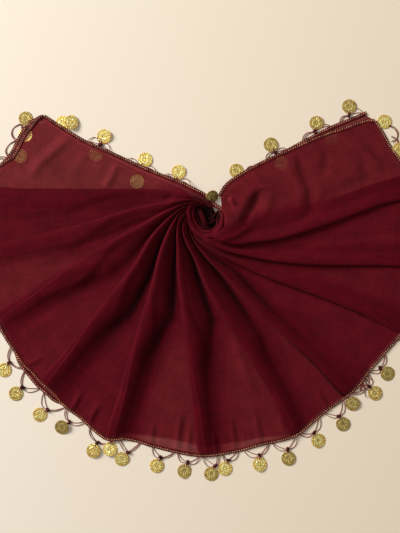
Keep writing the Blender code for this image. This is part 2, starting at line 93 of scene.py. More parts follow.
def colour_ramp(tree, factor, stops):
    """Colours between stops; the first and the last stop come first, then those between."""
    node = add_node(tree, "ShaderNodeValToRGB", Fac=factor)
    for k, (place, colour) in enumerate(stops):
        stop = node.color_ramp.elements[k] if k < 2 else node.color_ramp.elements.new(place)
        stop.position, stop.color = place, (*colour, 1)
    return node.outputs["Color"]


def new_material(name, roughness, **settings):
    mat = bpy.data.materials.new(name)
    mat.use_nodes = True
    shader = mat.node_tree.nodes["Principled BSDF"]
    fill(mat.node_tree, shader, {"Roughness": roughness, **settings})
    return mat, mat.node_tree, shader


def add_object(name, data):
    ob = bpy.data.objects.new(name, data)
    bpy.context.scene.collection.objects.link(ob)
    return ob


def make_table_top():
    mesh = bpy.data.meshes.new("table_top")
    corners = [(x * TABLE_HALF, y * TABLE_HALF, 0) for x, y in ((-1, -1), (1, -1), (1, 1), (-1, 1))]
    mesh.from_pydata(corners, [], [(0, 1, 2, 3)])
    mat, tree, shader = new_material("table_cream_and_falloff", 0.6, Specular_IOR_Level=0.25)
    where = add_node(tree, "ShaderNodeTexCoord").outputs["Object"]
    apart = add_node(tree, "ShaderNodeSeparateXYZ", where)
    # Painted light falloff: the cream turns warmer and a little darker towards +X, away from the window,
    # under slow uneven patches.
    across = calculate(tree, "MULTIPLY_ADD", apart.outputs["X"], 1.3, 0.3)
    place = calculate(tree, "MULTIPLY_ADD", noise(tree, where, 2.2, 3.0), 0.35, across)
    cream_and_falloff = colour_ramp(tree, place, ((0.0, linear(247, 238, 224)), (1.0, linear(243, 227, 205))))
    fill(tree, shader, {"Base Color": cream_and_falloff})
    mesh.materials.append(mat)
    add_object("table_top", mesh)


def add_area_light(name, place, target, size, power, colour):
    data = bpy.data.lights.new(name, "AREA")
    data.shape, data.size, data.energy, data.color = "DISK", size, power, colour
    lamp = add_object(name, data)
    lamp.location = place
    lamp.rotation_euler = (Vector(target) - Vector(place)).to_track_quat("-Z", "Y").to_euler()


def set_camera():
    data = bpy.data.cameras.new("camera")
    data.lens, data.sensor_width = LENS, SENSOR
    camera = add_object("camera", data)
    camera.location = (MIDDLE_X, MIDDLE_Y, SEEN_HEIGHT * LENS / SENSOR)
    bpy.context.scene.camera = camera


make_table_top()
add_area_light("window", (-3.3, 2.1, 1.85), (-0.02, 0.0, 0.0), 1.9, 262.0, (1.0, 0.97, 0.93))
add_area_light("ceiling", (-0.4, 0.3, 2.6), (0.0, 0.0, 0.0), 2.0, 8.5, (1.0, 0.96, 0.91))
set_camera()
world = bpy.data.worlds.new("room")
world.use_nodes = True
fill(world.node_tree, world.node_tree.nodes["Background"],
     {"Color": (0.93, 0.88, 0.8, 1), "Strength": 0.25})
bpy.context.scene.world = world
bpy.context.scene.view_settings.view_transform = "Standard"

# The under layer of the cloth.
# The lower half of the folded square, pressed flat on the table. It is plain chiffon
# with a narrow rolled hem, and shows in strips past the upper layer's edges.
EYE_X, EYE_Y = 5.0, 90.0
UNDER_HEIGHT, UNDER_WAVE, UNDER_COVER = 0.7, 0.16, 0.82
UNDER_MIDDLE = (0.0, -60.0)
UNDER_RINGS = (1.0, 0.992, 0.975, 0.94, 0.86, 0.72, 0.5, 0.25)  # shares of the way to its edge
THREAD_PITCH, SLUB_PITCH = 0.0011, 0.0036
SLUB_STRETCH = 0.045
HEM = (
    # angle, reach
    (140.0, 236), (146.5, 238), (147.6, 244), (150.2, 250), (153.4, 255), (160.9, 257),
    (165.0, 265), (172.7, 290), (179.1, 309), (183.0, 313), (188.5, 310), (197.3, 296),
    (204.0, 291), (212.2, 293), (215.3, 292), (218.7, 295), (222.0, 292), (225.5, 293),
    (229.2, 292), (233.2, 296), (238.8, 297), (244.0, 304), (246.6, 307), (247.5, 306),
    (249.6, 298), (253.2, 295), (259.7, 297), (264.0, 299), (268.8, 302), (271.9, 302),
    (276.8, 300), (284.9, 297), (291.5, 301), (294.2, 301), (297.7, 296), (303.1, 291),
    (308.8, 292), (313.1, 292), (318.2, 288), (323.9, 289), (329.2, 293), (338.6, 300),
    (345.4, 308), (349.8, 307), (356.1, 296), (365.0, 278), (376.9, 263), (380.9, 257),
    (386.9, 255), (391.5, 253), (396.0, 252), (404.0, 252),
)
EDGING_SPACE = 4.7
UNDER_INSET = (
    # angle, how far the under hem lies inside the upper one
    (147, 2), (165, 2), (205, 2), (214, 1), (219, -3), (224, -6), (230, -6), (233, 0),
    (242, 1), (248, 3), (252, 5), (258, 9), (263, 11), (276, 9), (284, 6), (292, 3),
    (302, 2), (345, 2.5), (375, 3), (386, 2), (391, -4),
)
UNDER_LEFT_INSET = (
    # radius, how far the under layer's top left edge lies inside the upper one
    (44, 3), (75, 2.5), (112, 2.5), (140, 2.2), (187, 2), (232, 2),
)
UNDER_BEYOND = (
    # radius, how far the under layer's top right edge lies outside the upper one
    (68, -3.0), (120, -0.3), (184, 4.8), (245, 13.0),
)
RADII = (20, 26, 36, 50, 72, 100, 140, 190, 250, 300)
LEFT_EDGE = (48.0, 80.0, 106.0, 122.0, 134.0, 140.8, 145.0, 147.6, 147.6, 147.6)
RIGHT_EDGE = (383.0, 387.0, 408.0, 411.5, 407.0, 402.2, 397.1, 393.4, 389.1, 387.8)


def soft_curve(xs, ys, at):
    """A smooth line through a table's rows that never overshoots them."""
    xs, ys = np.asarray(xs, float), np.asarray(ys, float)
    at = np.clip(np.asarray(at, float), xs[0], xs[-1])
    run = np.diff(xs)
    rise = np.diff(ys) / run
    slope = np.concatenate((rise[:1], np.zeros(len(rise) - 1), rise[-1:]))
    for k in range(1, len(rise)):
        if rise[k - 1] * rise[k] > 0:
            w0, w1 = 2 * run[k] + run[k - 1], run[k] + 2 * run[k - 1]
            slope[k] = (w0 + w1) / (w0 / rise[k - 1] + w1 / rise[k])
    k = np.clip(np.searchsorted(xs, at, side="right") - 1, 0, len(run) - 1)
    t = (at - xs[k]) / run[k]
    return (ys[k] * (1 + 2 * t) * (1 - t) ** 2 + slope[k] * run[k] * t * (1 - t) ** 2
            + ys[k + 1] * t * t * (3 - 2 * t) + slope[k + 1] * run[k] * t * t * (t - 1))


def table_curve(table, at):
    """A two-column table read on a smooth line."""
    rows = np.array(table, float)
    return soft_curve(rows[:, 0], rows[:, 1], at)


def cloth_hem(angle):
    """Reach of the upper layer's own edge, a little rounded at its corners."""
    rows = np.array(HEM, float)
    shifts = (-1.2, -0.6, 0.0, 0.6, 1.2)
    total = sum(np.interp(np.asarray(angle) + s, rows[:, 0], rows[:, 1]) for s in shifts)
    return total / len(shifts) - EDGING_SPACE


def polar(angle, reach):
    a = np.radians(angle)
    return np.stack((np.asarray(reach) * np.cos(a), np.asarray(reach) * np.sin(a)), axis=-1)


def under_right_edge(reach):
    side = polar(soft_curve(RADII, RIGHT_EDGE, reach), reach)
    return side + polar(120.0, table_curve(UNDER_BEYOND, reach))


def under_hem_points(angle):
    return polar(angle, cloth_hem(angle) - table_curve(UNDER_INSET, angle))


def under_outline():
    hem = under_hem_points(np.linspace(150, 390, 260))
    right = under_right_edge(np.linspace(246, 68, 60))
    turn = np.array(((44, 45), (36, 32), (30, 20), (20, 8), (12, 4), (2, 8), (-10, 22)), float)
    left = np.concatenate([polar(soft_curve(RADII, LEFT_EDGE, r), r) + polar(-120.0, inset)
                           for r, inset in UNDER_LEFT_INSET]).reshape(-1, 2)
    fine = [left[0]]
    for a, b in zip(left, left[1:]):
        fine += [a + (b - a) * t for t in np.linspace(0.1, 1, 10)]
    return np.concatenate((hem, right, turn, np.array(fine)))


def shifted(points):
    """Points about the eye in millimetres, put in the part's frame in metres."""
    points = np.asarray(points, float)
    return (points + np.array((EYE_X, EYE_Y, 0.0))) * 0.001


def mesh_object(name, points, faces, mat):
    mesh = bpy.data.meshes.new(name)
    mesh.from_pydata([tuple(p) for p in points], [], faces)
    mesh.materials.append(mat)
    mesh.shade_smooth()
    return add_object(name, mesh)


def store_uv(mesh, values):
    """Cloth coordinates in metres, given for each point of the mesh."""
    layer = mesh.uv_layers.new(name="cloth")
    corners = np.zeros(len(mesh.loops), int)
    mesh.loops.foreach_get("vertex_index", corners)
    layer.data.foreach_set("uv", np.asarray(values, float)[corners].ravel())


def store_value(mesh, name, values):
    mesh.attributes.new(name, "FLOAT", "POINT").data.foreach_set("value", values)


def scaled(tree, vector, factor):
    return add_node(tree, "ShaderNodeVectorMath", vector, Scale=factor,
                    set_operation="SCALE").outputs["Vector"]


def make_weave():
    """Crossed slubby threads: a mask of light and dark and a fine height."""
    group = bpy.data.node_groups.new("plain_weave", "ShaderNodeTree")
    for label, way, kind in (("Cloth", "INPUT", "Vector"), ("Pitch", "INPUT", "Float"),
                             ("Shade", "OUTPUT", "Float"), ("Height", "OUTPUT", "Float")):
        group.interface.new_socket(label, in_out=way, socket_type="NodeSocket" + kind)
    start, end = group.nodes.new("NodeGroupInput"), group.nodes.new("NodeGroupOutput")
    rate = calculate(group, "DIVIDE", 1.0, start.outputs["Pitch"])
    cloth = scaled(group, start.outputs["Cloth"], rate)
    slubs, waves = [], []
    for stretch, way in (((1.0, SLUB_STRETCH, 1.0), "X"), ((SLUB_STRETCH, 1.0, 1.0), "Y")):
        along = add_node(group, "ShaderNodeVectorMath", cloth, stretch, set_operation="MULTIPLY")
        slubs.append(noise(group, along.outputs["Vector"], 1.0, 2.0))
        waves.append(add_node(group, "ShaderNodeTexWave", Vector=cloth, Scale=0.32, Distortion=0.4,
                              set_bands_direction=way).outputs["Fac"])
    shade = calculate(group, "MULTIPLY", calculate(group, "ADD", *slubs), 0.5)
    fill(group, end, {"Shade": shade, "Height": calculate(group, "MAXIMUM", *waves)})
    return group


plain_weave = make_weave()


def ranged(tree, value, new_low, new_high, low=0.3, high=0.7):
    """The value with low and high brought to the new ones; noise keeps within 0.3 and 0.7."""
    return add_node(tree, "ShaderNodeMapRange", Value=value, From_Min=low, From_Max=high,
                    To_Min=new_low, To_Max=new_high).outputs["Result"]


def stored(tree, name):
    """A value that the mesh carries for each of its points."""
    return add_node(tree, "ShaderNodeAttribute", set_attribute_name=name).outputs["Fac"]


def bumped(tree, height, strength, distance):
    return add_node(tree, "ShaderNodeBump", Strength=strength, Distance=distance,
                    Height=height).outputs["Normal"]


def make_chiffon(name, tones):
    """Sheer where the cloth lies single, deeper where it lies doubled, darkest in painted shade:
    the tones follow the mesh's `layers_and_shade` value from 0 to 1, and `cover` says how dense it is."""
    mat, tree, shader = new_material(name, 0.78, Specular_IOR_Level=0.05, Sheen_Weight=0.09,
                                     Sheen_Roughness=0.5, Sheen_Tint=(0.75, 0.22, 0.22, 1))
    cloth = add_node(tree, "ShaderNodeUVMap", set_uv_map="cloth").outputs["UV"]
    fine, broad = (add_node(tree, "ShaderNodeGroup", set_node_tree=plain_weave, Cloth=cloth,
                            Pitch=pitch).outputs for pitch in (THREAD_PITCH, SLUB_PITCH))
    mottle = ranged(tree, fine["Shade"], 0.72, 1.3)
    patch = ranged(tree, noise(tree, cloth, 38.0, 4.0, 0.6), 0.82, 1.18)
    streak = ranged(tree, broad["Shade"], 0.88, 1.12)
    uneven = calculate(tree, "MULTIPLY", calculate(tree, "MULTIPLY", mottle, patch), streak)
    thin = ranged(tree, fine["Shade"], 0.05, -0.05)
    fill(tree, shader, {
        "Base Color": scaled(tree, colour_ramp(tree, stored(tree, "layers_and_shade"), tones), uneven),
        "Alpha": calculate(tree, "ADD", stored(tree, "cover"), thin, set_use_clamp=True),
        "Normal": bumped(tree, fine["Height"], 0.35, 0.0002),
    })
    return mat


def build_under_layer():
    outline = under_outline()
    centre = np.array(UNDER_MIDDLE)
    points, faces = [], []
    count = len(outline)
    for ring, scale in enumerate(UNDER_RINGS):
        for p in centre + (outline - centre) * scale:
            wave = UNDER_WAVE * math.sin(p[0] / 13.0 + p[1] / 21.0) * math.sin(p[1] / 17.0)
            points.append((p[0], p[1], UNDER_HEIGHT + wave * (ring > 1)))
    points.append((*centre, UNDER_HEIGHT))
    for ring in range(len(UNDER_RINGS) - 1):
        for k in range(count):
            n = (k + 1) % count
            a, b = ring * count, (ring + 1) * count
            faces.append((a + k, a + n, b + n, b + k))
    last = (len(UNDER_RINGS) - 1) * count
    faces += [(last + k, last + (k + 1) % count, len(points) - 1) for k in range(count)]
    mat = make_chiffon("chiffon_under",
                       ((0.0, linear(118, 40, 43)), (1.0, linear(92, 20, 27))))
    ob = mesh_object("under_layer", shifted(points), faces, mat)
    store_uv(ob.data, np.array(points)[:, :2] * 0.001)
    store_value(ob.data, "layers_and_shade", [0.0] * len(points))
    store_value(ob.data, "cover", [UNDER_COVER] * len(points))
    return ob


under_layer = build_under_layer()
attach(under_layer, "root")
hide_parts("under_cloth")

# The upper layer of the cloth with its pleats.
# One sheet drawn in round the eye. Each pleat is a flat Z of three layers that swings
# round the rosette: its crisp edge faces back, and the cloth rolls over it.
EYE_RIM = (
    # angle, reach
    (35, 21), (98, 18.5), (123, 18.5), (149, 16.5), (185, 13.5), (235, 13.5),
    (277, 19), (307, 26), (342, 25.5), (384, 28),
)
PLEATS = (
    # overlap, height, angles at RADII, width, softness and depth of its dark zone, open tone
    (0, 1.6, LEFT_EDGE, 2, 2, 1, 0.06),
    (24, 1.2, (64.0, 96.0, 119.0, 135.0, 148.5, 157.8, 164.4, 168.5, 171.2, 172.0), 24, 3, 0.66, 0.5),
    (19, 4.2, (86.0, 114.0, 138.0, 154.0, 165.5, 173.9, 180.9, 184.6, 186.7, 187.6), 19, 14, 0.6, 0.3),
    (24, 6.5, (106.0, 130.0, 154.0, 170.0, 183.0, 190.1, 195.9, 200.0, 203.4, 205.7), 27, 18, 0.64, 0.38),
    (22, 9.5, (123.0, 143.0, 169.0, 185.9, 200.5, 212.5, 218.2, 221.7, 224.1, 225.2), 42, 20, 0.74, 0.42),
    (22, 10.5, (139.0, 156.5, 184.0, 203.7, 219.5, 230.8, 237.4, 241.7, 244.7, 246.6), 37, 16, 0.76, 0.3),
    (22, 10.5, (154.0, 170.0, 207.4, 229.9, 243.5, 253.2, 260.2, 264.9, 267.7, 269.6), 30, 20, 0.74, 0.32),
    (22, 10.5, (174.0, 199.0, 233.7, 257.0, 268.0, 276.2, 283.5, 288.8, 291.5, 292.0), 27, 18, 0.72, 0.38),
    (36, 8.0, (212.0, 237.7, 260.3, 275.6, 288.5, 295.3, 300.7, 305.2, 307.8, 308.6), 33, 24, 0.62, 0.42),
    (26, 5.0, (234.0, 252.0, 277.0, 293.5, 307.2, 315.4, 322.3, 327.0, 329.5, 330.3), 27, 16, 0.68, 0.4),
    (30, 4.0, (264.0, 275.0, 291.0, 304.8, 318.8, 327.7, 335.5, 341.8, 346.2, 348.1), 31, 18, 0.67, 0.45),
    (27, 4.0, (295.0, 300.0, 308.0, 319.0, 334.7, 344.7, 354.1, 361.1, 365.9, 367.5), 27, 3, 0.7, 0.3),
    (0, 2.0, RIGHT_EDGE, 2, 2, 1, 0.2),
)
WINGS = len(PLEATS) - 1
# Painted shade in the valley past each deep pleat's roll: how dark each is painted.
VALLEY_SHADE = (0.35, 0.7, 0.95, 0.95, 0.95, 0.9, 0.7)  # how dark it is between the deep pleats
FRONT_FROM = 8  # the first point of a fold's run that shows
FRONT, CREST = 0.74, 0.24  # a pleat's height at its crisp edge, and where it is highest
LAYER = 0.55  # half the rise from one layer of a pleat to the next
REST, WING_LIFT = 1.9, 1.3  # how high the upper layer lies, and how much more its wings do
LOWEST, LOWEST_IN_EYE = 1.15, 0.5
BUNCH_HEIGHT, BUNCH_REACH = 9.5, 30  # the cloth's rise round the eye, and how far out it peaks
SINGLE_COVER, DOUBLE_COVER = 0.66, 0.94  # how dense a sheer and a doubled stretch is
ROW_COUNT, WING_COLUMNS, TOP_COLUMNS = 116, 62, 45
INNER_ROWS = (-1.0, -0.72, -0.5, -0.33, -0.2, -0.1)  # those that go down into the eye
CREASES = (
    # width, height, points counted in the photograph's pixels
    (5.6, 2.5, ((74, 134), (55, 151), (39, 165), (26, 184))),
    (4.4, 2.1, ((119, 162), (112, 177), (104, 191))),
    (7.0, 0.9, ((88, 148), (80, 165), (70, 184))),
    (6.0, -2.8, ((296, 149), (302, 169), (311, 189), (311, 218))),
    (5.6, -2.6, ((342, 129), (360, 139), (376, 151), (392, 170))),
    (6.0, 1.3, ((352, 141), (368, 153), (382, 172))),
    (6.0, -1.3, ((324, 146), (327, 162), (322, 180))),
    (6.0, -1.3, ((362, 158), (364, 170), (372, 182))),
    (5.0, -3.2, ((263, 188), (255, 202), (246, 218), (241, 228))),
    (6.0, 1.6, ((272, 190), (268, 206), (260, 220))),
    (2.6, 2.0, ((232, 196), (231, 201), (236, 206))),
    (3.5, 1.4, ((216, 241), (235, 236), (254, 225))),
    (5.0, -1.2, ((296, 310), (321, 337), (366, 368))),
    (4.0, 1.3, ((360, 305), (376, 313), (392, 322))),
    (4.0, -1.6, ((163, 201), (170, 198), (176, 196))),
    (3.4, 1.5, ((22, 367), (32, 362), (44, 358))),
    (3.2, 1.7, ((69, 415), (75, 404), (82, 390))),
    (4.0, -1.5, ((80, 415), (90, 405), (99, 396))),
    (3.0, 1.5, ((88, 429), (92, 417), (98, 404))),
    (3.2, 1.4, ((150, 450), (151, 438), (154, 420))),
    (3.6, 1.8, ((176, 455), (178, 436), (181, 410))),
    (3.0, 1.5, ((187, 457), (188, 443), (190, 424))),
    (2.8, 1.2, ((217, 458), (216, 447), (213, 432))),
    (3.0, 1.4, ((236, 455), (234, 440), (231, 418))),
    (3.4, 1.4, ((262, 449), (259, 433), (254, 412))),
    (2.8, 1.2, ((287, 441), (283, 429), (279, 414))),
    (3.4, 1.4, ((330, 413), (324, 402), (315, 388))),
    (3.4, 1.3, ((372, 372), (362, 365), (348, 358))),
    (6.0, 1.2, ((232, 330), (246, 372), (257, 404))),
    (7.0, -1.2, ((40, 262), (82, 258), (128, 250))),
    (6.0, 1.2, ((30, 300), (66, 288), (104, 270))),
    (8.0, -1.3, ((10, 330), (34, 316), (64, 300))),
)


def fade(value, low, high):
    t = np.clip((np.asarray(value, float) - low) / (high - low), 0.0, 1.0)
    return t * t * (3 - 2 * t)


def from_pixel(x, y):
    """The photograph's pixel as millimetres about the eye."""
    return np.array(((x - 202.0) * PIXEL, (219.0 - y) * PIXEL))


def fold_angle(i, reach):
    """Near the eye the folds wind on into it."""
    reach = np.asarray(reach, float)
    return soft_curve(RADII, PLEATS[i][2], reach) + 2.2 * np.minimum(reach - 20.0, 0.0)


def rim_reach(angle):
    return table_curve(EYE_RIM, angle)


def lift(reach):
    """The cloth bunches up round the eye and dips into it."""
    bunch = BUNCH_HEIGHT * np.exp(-(((reach - BUNCH_REACH) / 30) ** 2))
    return bunch * (0.35 + 0.65 * fade(reach, 14, BUNCH_REACH))


def row_reach(i, t, share):
    far, n = len(RADII) - 1, min(i + 1, WINGS)
    a_far = PLEATS[i][2][far] * (1 - t) + PLEATS[n][2][far] * t
    a_near = PLEATS[i][2][0] * (1 - t) + PLEATS[n][2][0] * t
    near = rim_reach(a_near)
    return near + (cloth_hem(a_far) - near) * share


def spacing_after(i, reach):
    return float(np.radians(fold_angle(i + 1, reach) - fold_angle(i, reach)) * reach)


def pleat_height(i, reach, spacing):
    grown = PLEATS[i][1] * (0.5 + 0.5 * fade(reach, 24, 74)) * (1 - 0.5 * fade(reach, 120, 260))
    return float(min(grown, 0.42 * spacing))


def fold_run(i, reach, spacing, height):
    """Offsets and heights that carry the cloth under fold i, back, and up over its edge."""
    overlap = 2.2 * LAYER + PLEATS[i][0] * fade(reach, 100, 185)
    overlap = float(min(overlap, 0.42 * spacing + 1.5 * LAYER))
    bend = min(LAYER, 0.3 * overlap)
    run = [(t * (overlap - bend), 0.0) for t in (0.0, 0.5, 1.0)]
    for turn in (-30, 30):
        a = math.radians(turn)
        run.append((overlap - bend + bend * math.cos(a), LAYER + LAYER * math.sin(a)))
    deep_pleat = 2 < i < WINGS - 3
    nose = min(0.9 + 8.6 * float(fade(reach, 150, 290)) * deep_pleat, 0.16 * spacing)
    run += [(overlap - bend - t * (overlap - bend - nose), 2 * LAYER) for t in (0.0, 0.5, 1.0)]
    top = 4 * LAYER + FRONT * height
    middle, half = (top + 2 * LAYER) / 2, (top - 2 * LAYER) / 2
    for turn in (-45, 5, 35, 60, 78, 90):
        a = math.radians(turn)
        run.append((nose - nose * math.cos(a), middle + half * math.sin(a)))
    return run, overlap, nose


def steepest_at(i, reach, spacing):
    """How far past its crisp edge a pleat falls most: near the next one where the folds
    are close, and soon after its own edge where they have spread."""
    if i >= WINGS - 4:
        return min(0.6 * spacing, 16.0)
    share = float(soft_curve((40, 62, 110, 160), (0.84, 0.82, 0.72, 0.6), reach))
    far = float(soft_curve((110, 154, 204, 300), (40, 31, 22, 20), reach))
    return min(share * spacing, far)


def top_run(i, overlap, nose, spacing, height, steepest):
    """The pleat's top layer: it swells past its edge, then rolls down ever more steeply."""
    x = nose + (spacing - nose) * np.linspace(0, 1, TOP_COLUMNS + 1)[1:] ** 1.15
    end = min(overlap + 13.0, 0.97 * spacing)
    fall = 4 * LAYER * (1 - fade(x, min(overlap - 1.0, 0.5 * spacing), end))
    u = x / steepest
    swell = 1 - (1 - FRONT) * np.clip(1 - u / CREST, 0, 1) ** 2
    down = 1 - 0.8 * np.clip((u - CREST) / (1 - CREST), 0, 1) ** 1.9
    out = 0.2 * np.clip(1 - (u - 1) / 0.24, 0, 1) ** 2
    roll = np.where(u < CREST, swell, np.where(u < 1, down, out))
    return x, fall + height * roll


def run_lengths(line):
    """How far along a line each of its points lies, on the plan."""
    return np.concatenate(((0.0,), np.cumsum(np.hypot(*np.diff(line[:, :2], axis=0).T))))


def crease_relief(plan):
    """Listed soft troughs and ridges, with a lower one of the other kind beside each."""
    total = np.zeros(len(plan))
    for width, height, pixels in CREASES:
        line = np.array([from_pixel(*p) for p in pixels])
        runs = run_lengths(line)
        best, side, place = np.full(len(plan), 1e9), np.zeros(len(plan)), np.zeros(len(plan))
        for a, b, run in zip(line, line[1:], runs):
            way = (b - a) / np.hypot(*(b - a))
            t = np.clip((plan - a) @ way, 0, np.hypot(*(b - a)))
            off = plan - a - t[:, None] * way
            away = np.hypot(off[:, 0], off[:, 1])
            closer = away < best
            best = np.where(closer, away, best)
            side = np.where(closer, off @ np.array((-way[1], way[0])), side)
            place = np.where(closer, (run + t) / runs[-1], place)
        ends = fade(place, 0, 0.3) * fade(1 - place, 0, 0.3)
        signed = np.where(side < 0, -best, best)
        beside = np.exp(-((signed + 2 * width) / (1.3 * width)) ** 2)
        total += height * (np.exp(-(best / width) ** 2) - 0.45 * beside) * ends
    return total


def drape_relief(plan):
    """Slow uneven waves, so no stretch of the cloth is dead flat."""
    x, y = plan[:, 0], plan[:, 1]
    slow = np.sin(x / 31 + 1.7 * np.sin(y / 47)) * np.sin(y / 37 + 1.3)
    quick = np.sin(x / 13.0 - y / 19.0 + 2 * np.sin(y / 29)) * np.sin(y / 15.0 + x / 43)
    return 0.34 * slow + 0.12 * quick


def upper_row(share):
    """Plan points, heights, tone for `layers_and_shade`, cloth coordinate and which points show."""
    parts = []
    inward, row_share, follow = max(-share, 0.0), max(share, 0.0), float(fade(share, 0.8, 1.0))

    def put(i, t, offset, z, depth, across, shown):
        t, offset, z, shown = (np.asarray(v, float) for v in (t, offset, z, shown))
        reach = row_reach(i, t, row_share)
        start, end = fold_angle(i, reach), fold_angle(i + 1, reach)
        angle = start + (end - start) * t + np.degrees(offset / reach)
        bent = reach * (1 - follow) + cloth_hem(angle) * follow - 3.0 * (1 - shown) * follow
        plan = polar(angle - 55.0 * inward, bent * (1 - 0.34 * inward))
        height = z * (1 - inward) ** 0.7 + 0.8 * inward
        height = UNDER_HEIGHT + (height - UNDER_HEIGHT) * (1 - 0.6 * follow)
        # Rows going down into the eye are painted darker: painted shade in the hollow.
        depth = np.maximum(depth + 0 * z, 0.7 + 0.3 * fade(inward, 0, 0.3) if inward else 0.0)
        parts.append(np.column_stack((plan, height, depth, across + 0 * z, shown + 0 * z)))

    for i in range(WINGS):
        reach = float(row_reach(i, 0.0, row_share))
        spacing = spacing_after(i, reach)
        wing = WING_LIFT * float(fade(reach, 30, 70))
        if i == 0:
            t = np.linspace(0, 1, WING_COLUMNS, endpoint=False)
            near = row_reach(0, t, row_share)
            rise = soft_curve((0, 0.3, 0.7, 1), (0.7, 2.0, 1.9, WING_LIFT), t)
            z = REST + lift(near) + rise * fade(near, 30, 70)
            put(0, t, 0 * t, z, 0.05 + 0.5 * (1 - fade(near, 30, 90)), t * spacing, 1 + 0 * t)
            continue
        high = pleat_height(i, reach, spacing)
        run, overlap, nose = fold_run(i, reach, spacing, high)
        base = wing if i == 1 else 0.0
        order = np.arange(len(run))
        run = np.array(run)
        shadow = 0.95 - 0.3 * float(fade(reach, 150, 270)) * (i < 8)
        put(i, 0 * run[:, 0], run[:, 0], REST + float(lift(reach)) + base + run[:, 1],
            np.where(order > FRONT_FROM + 2, 0.72, shadow), -1.5 * order, order >= FRONT_FROM)
        steepest = steepest_at(i, reach, spacing)
        x, z = top_run(i, overlap, nose, spacing, high, steepest)
        t = x / spacing
        near = row_reach(i, t, row_share)
        low = base * (1 - t)
        if i == WINGS - 1:
            low = np.maximum(low, wing * fade(x, overlap, overlap + 20))
        # Towards the eye the tone is pulled to the dark zone's: the cloth bunches there in many folds,
        # deepened by painted shade.
        bunched_and_shaded = 1 - fade(near, 45, 190)
        dark_width, softness, strength, open_value = PLEATS[i][3:]
        deep_to = min(dark_width, 0.9 * spacing)
        if i == WINGS - 1:
            bunched_and_shaded = bunched_and_shaded * (1 - fade(x, 0.3 * spacing, 0.5 * spacing))
            deep_to = float(soft_curve((30, 50, 100, 190, 250), (14, 30, 37, 30, 28), reach))
        deep = 1 - fade(x, deep_to - 0.6 * softness, deep_to + 0.4 * softness)
        value = open_value + (strength - open_value) * np.maximum(deep, 0.85 * bunched_and_shaded)
        # Painted shade: past each deep pleat's roll the tone is pushed towards near black in its valley,
        # less so far from the eye.
        if 1 < i < WINGS - 3:
            wide = 0.16 * spacing + 4.0 * float(fade(reach, 130, 200))
            valley_shade = np.exp(-(((x - 1.1 * steepest) / wide) ** 2)) * VALLEY_SHADE[i - 2]
            value += (1.0 - value) * valley_shade * (1 - 0.72 * float(fade(reach, 110, 230)))
        put(i, t, 0 * t, REST + lift(near) + low + z, value, x, 1 + 0 * t)
    return np.concatenate(parts)


def hem_place(plan):
    """Angle, reach, and how far each point lies past the end of the under hem."""
    angle = np.degrees(np.arctan2(plan[:, 1], plan[:, 0])) % 360
    angle = np.where(angle < 60, angle + 360, angle)
    reach = np.hypot(plan[:, 0], plan[:, 1])
    return angle, reach, table_curve(UNDER_INSET, angle) - (cloth_hem(angle) - reach)


def hem_strip(plan):
    """1 along the bottom, where the under hem ends short and light shines through."""
    angle, _, past = hem_place(plan)
    return fade(past, -1.0, 1.5) * fade(angle, 246, 251) * (1 - fade(angle, 284, 296))


def wing_edge(plan):
    """How dense the cloth is where no under layer lies below it, and 0 elsewhere."""
    angle, reach, past = hem_place(plan)
    at_hem = (past > -1.2) & (angle > 147)
    left, right = (np.radians(np.abs(angle - soft_curve(RADII, edge, reach))) * reach
                   for edge in (LEFT_EDGE, RIGHT_EDGE))
    at_left = left < table_curve(UNDER_LEFT_INSET, reach) + 1.2
    beside_eye = (right < 26) & (reach < 88)
    strip = 0.93 - 0.09 * fade(angle, 246, 252) * (1 - fade(angle, 284, 294))
    return np.where(beside_eye, 1.0, np.where(at_hem | at_left, strip, 0.0))


def build_upper_layer():
    shares = [*INNER_ROWS, *(np.linspace(0, 1, ROW_COUNT) ** 1.3)]
    rows = [upper_row(share) for share in shares]
    count = len(rows[0])
    every = np.concatenate(rows)
    plan, height = every[:, :2], every[:, 2]
    outside = fade(np.hypot(plan[:, 0], plan[:, 1]), 26, 60)
    height = height + crease_relief(plan) + drape_relief(plan) * outside
    height = np.maximum(height, LOWEST_IN_EYE + (LOWEST - LOWEST_IN_EYE) * outside)
    points = shifted(np.column_stack((plan, height)))
    faces = []
    for r in range(len(rows) - 1):
        for k in range(count - 1):
            a = r * count + k
            faces.append((a + count, a + count + 1, a + 1, a))
    # The tones run from single to doubled cloth; the near-black last stop is painted shade in the pleat
    # valleys and down in the eye.
    mat = make_chiffon("chiffon_upper",
                       ((0.0, linear(126, 40, 45)), (1.0, linear(18, 2, 5)),
                        (0.42, linear(92, 12, 25)), (0.78, linear(78, 3, 17))))
    ob = mesh_object("upper_layer", points, faces, mat)
    reach = np.hypot(plan[:, 0], plan[:, 1])
    store_uv(ob.data, np.column_stack((every[:, 4], reach)) * 0.001)
    store_value(ob.data, "layers_and_shade", np.clip(every[:, 3] - 0.26 * hem_strip(plan), 0.04, 1.0))
    dense = SINGLE_COVER + (DOUBLE_COVER - SINGLE_COVER) * fade(every[:, 3], 0.05, 0.5)
    store_value(ob.data, "cover", np.maximum(dense, wing_edge(plan)))
    millimetres = np.column_stack((plan, height))
    return ob, millimetres.reshape(len(rows), count, 3), rows[-1][:, 5] > 0.5


upper_layer, upper_grid, hem_seen = build_upper_layer()
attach(upper_layer, "root")
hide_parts("upper_cloth")
